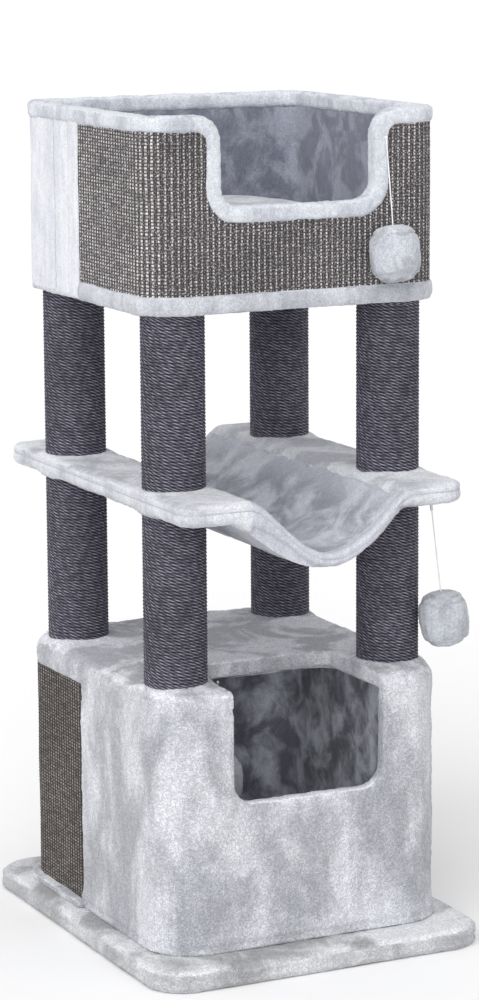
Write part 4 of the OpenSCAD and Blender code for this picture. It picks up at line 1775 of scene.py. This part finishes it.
@dataclass(frozen=True)
class Bed:
    """Bed with a notched front wall, plush trim and a cushion."""

    corner: float = 55 * MM
    seam: float = 15 * MM
    trim: float = 22 * MM
    trim_lap: float = 5 * MM
    puff: float = 2.2 * MM
    strip: tuple[float, float] = (6 * MM, 50 * MM)
    stitch: float = 108 * MM
    strip_seam: Line = Line(-2.4, 3, 4)
    stitch_dent: Line = Line(-1.6, 0, 3.5)
    lining_seam: Line = Line(-1.8, 0, 4)
    lining_head: Fade = Fade(-8, 24)
    lining_lift: float = 5 * MM
    lap_head: Fade = Fade(-12, 16)
    lap_foot: Fade = Fade(-8, 12)
    overlap: float = 4 * MM
    roll: float = 3 * MM
    strip_rise: float = 2.6 * MM
    wall: float = 17 * MM
    skin: float = 5 * MM
    back_skin: float = 4 * MM
    notch_half: float = 132 * MM
    notch_depth: float = 139 * MM
    notch_corner: float = 30 * MM
    thin: float = 0.32

    def outline(self) -> Outline:
        """Outline of the bed over its plush."""
        hi = high("bed_back_plush")
        return Outline(2 * hi.x, 2 * hi.y, self.corner)

    def border(self) -> Piece:
        """Plush under the bed and its rolled border."""
        outline = self.outline()
        lo, hi = low("bed_floor_plush"), high("bed_floor_plush")
        obj = soft_copy("bed_border", 4 * MM, 3, "bed_floor_plush")

        def relief(p: Vector, _: Vector) -> float:
            """Height of the border's roll along the front.

            Args:
                p: A point of the plush.
            Returns:
                How far the plush stands out there.
            """
            inside, _ = outline.inside(p)
            if inside < self.skin and p.y < self.seam:
                return self.roll * math.sin(math.pi * min(max((p.z - lo.z) / (hi.z - lo.z), 0), 1))
            return 0.0

        sculpt(obj, Pile(1.0, 80, 0.9, 22, 0.9, 7, 8.0), relief)
        return attach(obj, Finish.BORDER, "plush", "bed_floor_plush")

    def back(self) -> Piece:
        """Plush round the back and the sides."""
        outline = self.outline()
        obj = soft_copy("bed_back", 4 * MM, 2, "bed_back_plush")

        def relief(p: Vector, _: Vector) -> float:
            """Height of the strip beside the mat and of the seams.

            Args:
                p: A point of the plush.
            Returns:
                How far the plush stands out there.
            """
            inside, _ = outline.inside(p)
            if inside > self.back_skin:
                return 0.0
            start, end = self.strip
            rise = self.strip_rise * (step(p.y, start, 6 * MM) - step(p.y, end, 5 * MM))
            return rise + self.strip_seam.rise(p.y - end) + self.stitch_dent.rise(p.y - self.stitch)

        lo, hi = low("bed_back_plush"), high("bed_back_plush")

        def closed(p: Vector, _: Vector) -> Vector:
            """Move that closes the gaps to the border below and the trim above."""
            up = self.lap_head.share(p.z - hi.z) - self.lap_foot.share(lo.z - p.z)
            return Vector((0, 0, self.overlap * up))

        move_points(obj, closed)
        sculpt(obj, Pile(1.6, 110, 1.0, 30, 0.8, 8, 9.0), relief)
        # Upright grey lines of painted seam shade on both sides.
        gap, steps = 2 * MM, 60
        for side in (-1, 1):
            for number, y in enumerate((self.strip[1] + self.strip_seam.at * MM, self.stitch)):
                name = f"bed_seam_{'left' if side < 0 else 'right'}_{number + 1}"
                rise = (lo.z + gap + (hi.z - lo.z - 2 * gap) * i / steps for i in range(steps + 1))
                Seam(name, tuple(Vector((side * hi.x, y, z)) for z in rise)).sew(obj)
        return attach(obj, Finish.BED, "plush", "bed_back_plush")

    def rim(self) -> Piece:
        """Padded trim along the rim and the notch."""
        obj = soft_copy("bed_trim", 3.6 * MM, 8, "bed_rim_trim")
        sculpt(obj, Pile(1.0, 70, 1.1, 20, 1.2, 6.5, 10.0), lambda p, n: self.puff)
        return attach(obj, Finish.TRIM, "plush", "bed_rim_trim")

    def lining(self) -> Piece:
        """Lining of the walls and the floor."""
        obj = soft_copy("bed_inside", 5 * MM, 1, "bed_lining", "bed_floor_pad")
        outline = self.outline()

        def relief(p: Vector, n: Vector) -> float:
            """Depth of the lining's upright seams.

            Args:
                p: A point of the lining.
                n: Its normal.
            Returns:
                How far the lining stands out there.
            """
            inside, _ = outline.inside(p)
            if inside < self.wall or abs(n.z) > 0.7:
                return 0.0
            seams = min(abs(abs(p.x) - 120 * MM), abs(p.y + 15 * MM))
            return self.lining_seam.rise(seams)

        top = high("bed_lining").z
        move_points(obj, lambda p, n: Vector((0, 0, self.lining_lift * self.lining_head.share(p.z - top))))
        sculpt(obj, Pile(1.8, 90, 1.2, 30, 0.6, 12, 12.0), relief)
        return attach(obj, Finish.LINING, "lining", "bed_lining", "bed_floor_pad")

    def mat(self) -> Piece:
        """Woven scratching mat round the front."""
        lo, hi = low("bed_front_mat"), high("bed_front_mat")
        outline = self.outline().grown(-MAT_INSET)
        weave = WovenMat(outline, lo.z - MAT_OVERLAP, hi.z + MAT_OVERLAP)
        end = outline.reach(self.seam)
        cover = self.trim - self.trim_lap
        half, radius = self.notch_half + cover, self.notch_corner + cover
        sill = high("bed_rim_trim").z - self.notch_depth - cover

        def hidden(p: Vector) -> bool:
            """Whether a point of the mat lies in the notch.

            Args:
                p: The point.
            Returns:
                True in the notch, inside its trim.
            """
            if p.y > 0 or abs(p.x) > half or p.z < sill:
                return False
            across, down = abs(p.x) - half + radius, sill + radius - p.z
            return across < 0 or down < 0 or math.hypot(across, down) < radius

        piece = weave.build("bed_mat", -end, end, hidden)
        dress_nodes(Finish.BACKING, "bed_front_mat")
        return attach(piece, Finish.MAT, "woven_mat")

    def cushion(self) -> Piece:
        """Loose stuffed cushion, settled by a cloth simulation."""
        lo, hi = low("bed_cushion"), high("bed_cushion")
        obj = soft_copy("cushion_cover", 6 * MM, 4, "bed_cushion")
        self.stuff(obj)
        smooth(obj)

        def settle(p: Vector, _: Vector) -> Vector:
            """Move that rests the cushion on the floor and thins it towards its edge.

            Args:
                p: A point of the cushion.
            Returns:
                Its move.
            """
            across, along = (max(1 - abs(2 * p[i] / (hi - lo)[i]) ** 3, 0) for i in (0, 1))
            crown = self.thin + (1 - self.thin) * math.sqrt(across * along)
            puff = 0.05 * noise.noise(Vector((p.x, p.y, 7 * MM)) / (110 * MM))
            return Vector((0, 0, max((p.z - lo.z) * (crown + puff - 1), lo.z - p.z)))

        move_points(obj, settle)
        sculpt(obj, Pile(2.0, 120, 1.2, 34, 0.8, 9, 14.0), floor=lo.z)
        attach(obj, Finish.CUSHION, "lining", "bed_cushion", body="cushion")
        return obj

    def stuff(self, obj: Piece) -> None:
        """Blows the cushion up a little with a cloth simulation, as its filling does.

        Args:
            obj: The cushion.
        """
        scene, frames, most = bpy.context.scene, 20, 16 * MM
        start = np.array([v.co[:] for v in obj.data.vertices])
        cloth = obj.modifiers.new("stuffing", "CLOTH")
        cloth.settings.use_pressure = True
        cloth.settings.uniform_pressure_force = 4
        cloth.settings.effector_weights.gravity = 0
        cloth.settings.tension_stiffness = 25
        cloth.settings.compression_stiffness = 25
        cloth.settings.bending_stiffness = 2
        cloth.point_cache.frame_start = 1
        cloth.point_cache.frame_end = frames
        for number in range(1, frames + 1):
            scene.frame_set(number)
        graph = bpy.context.evaluated_depsgraph_get()
        mesh = bpy.data.meshes.new_from_object(obj.evaluated_get(graph))
        blown = np.array([v.co[:] for v in mesh.vertices])
        move = blown - start
        length = np.linalg.norm(move, axis=1, keepdims=True)
        move *= np.minimum(1, most / np.maximum(length, 1e-9))
        obj.modifiers.clear()
        for vertex, place in zip(obj.data.vertices, start + move):
            vertex.co = place
        bpy.data.meshes.remove(mesh)
        scene.frame_set(1)

    def build(self) -> None:
        """Builds the bed's soft pieces and finishes its boards."""
        self.border()
        self.back()
        self.rim()
        self.lining()
        self.mat()
        self.cushion()
        dress_nodes(Finish.PANEL, "bed_wall_front", "bed_wall_back")
        dress_nodes(Finish.BOARD, "bed_floor_board")


# ---- Tree ----


@dataclass(frozen=True)
class CatTree:
    """The whole cat tree."""

    toys: tuple[Toy, ...] = (
        Toy("rim_toy", (0.149, -0.2524, 1.281), (-0.0026, -0.026, -0.130)),
        Toy("wing_toy", (0.2401, -0.2317, 0.7154), (0.014, -0.0109, -0.155), sleeve=20 * MM),
        Toy("cave_toy", (-0.062, -0.080, 0.4104), (0.0, 0.0, -0.116)),
    )
    studio: Studio = Studio()
    base: Base = Base()
    cave: Cave = Cave()
    posts: Posts = Posts()
    tier: HammockTier = HammockTier()
    bed: Bed = Bed()

    def build(self) -> None:
        """Builds the studio, the cords, then the tree from its foot up."""
        self.studio.build()
        for toy in self.toys:
            toy.string()
        self.base.build()
        self.cave.build()
        self.posts.build()
        self.tier.build()
        self.bed.build()
        for toy in self.toys:
            toy.build()


def main() -> None:
    """Builds the scene."""
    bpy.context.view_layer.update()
    CatTree().build()


if __name__ == "__main__":
    main()
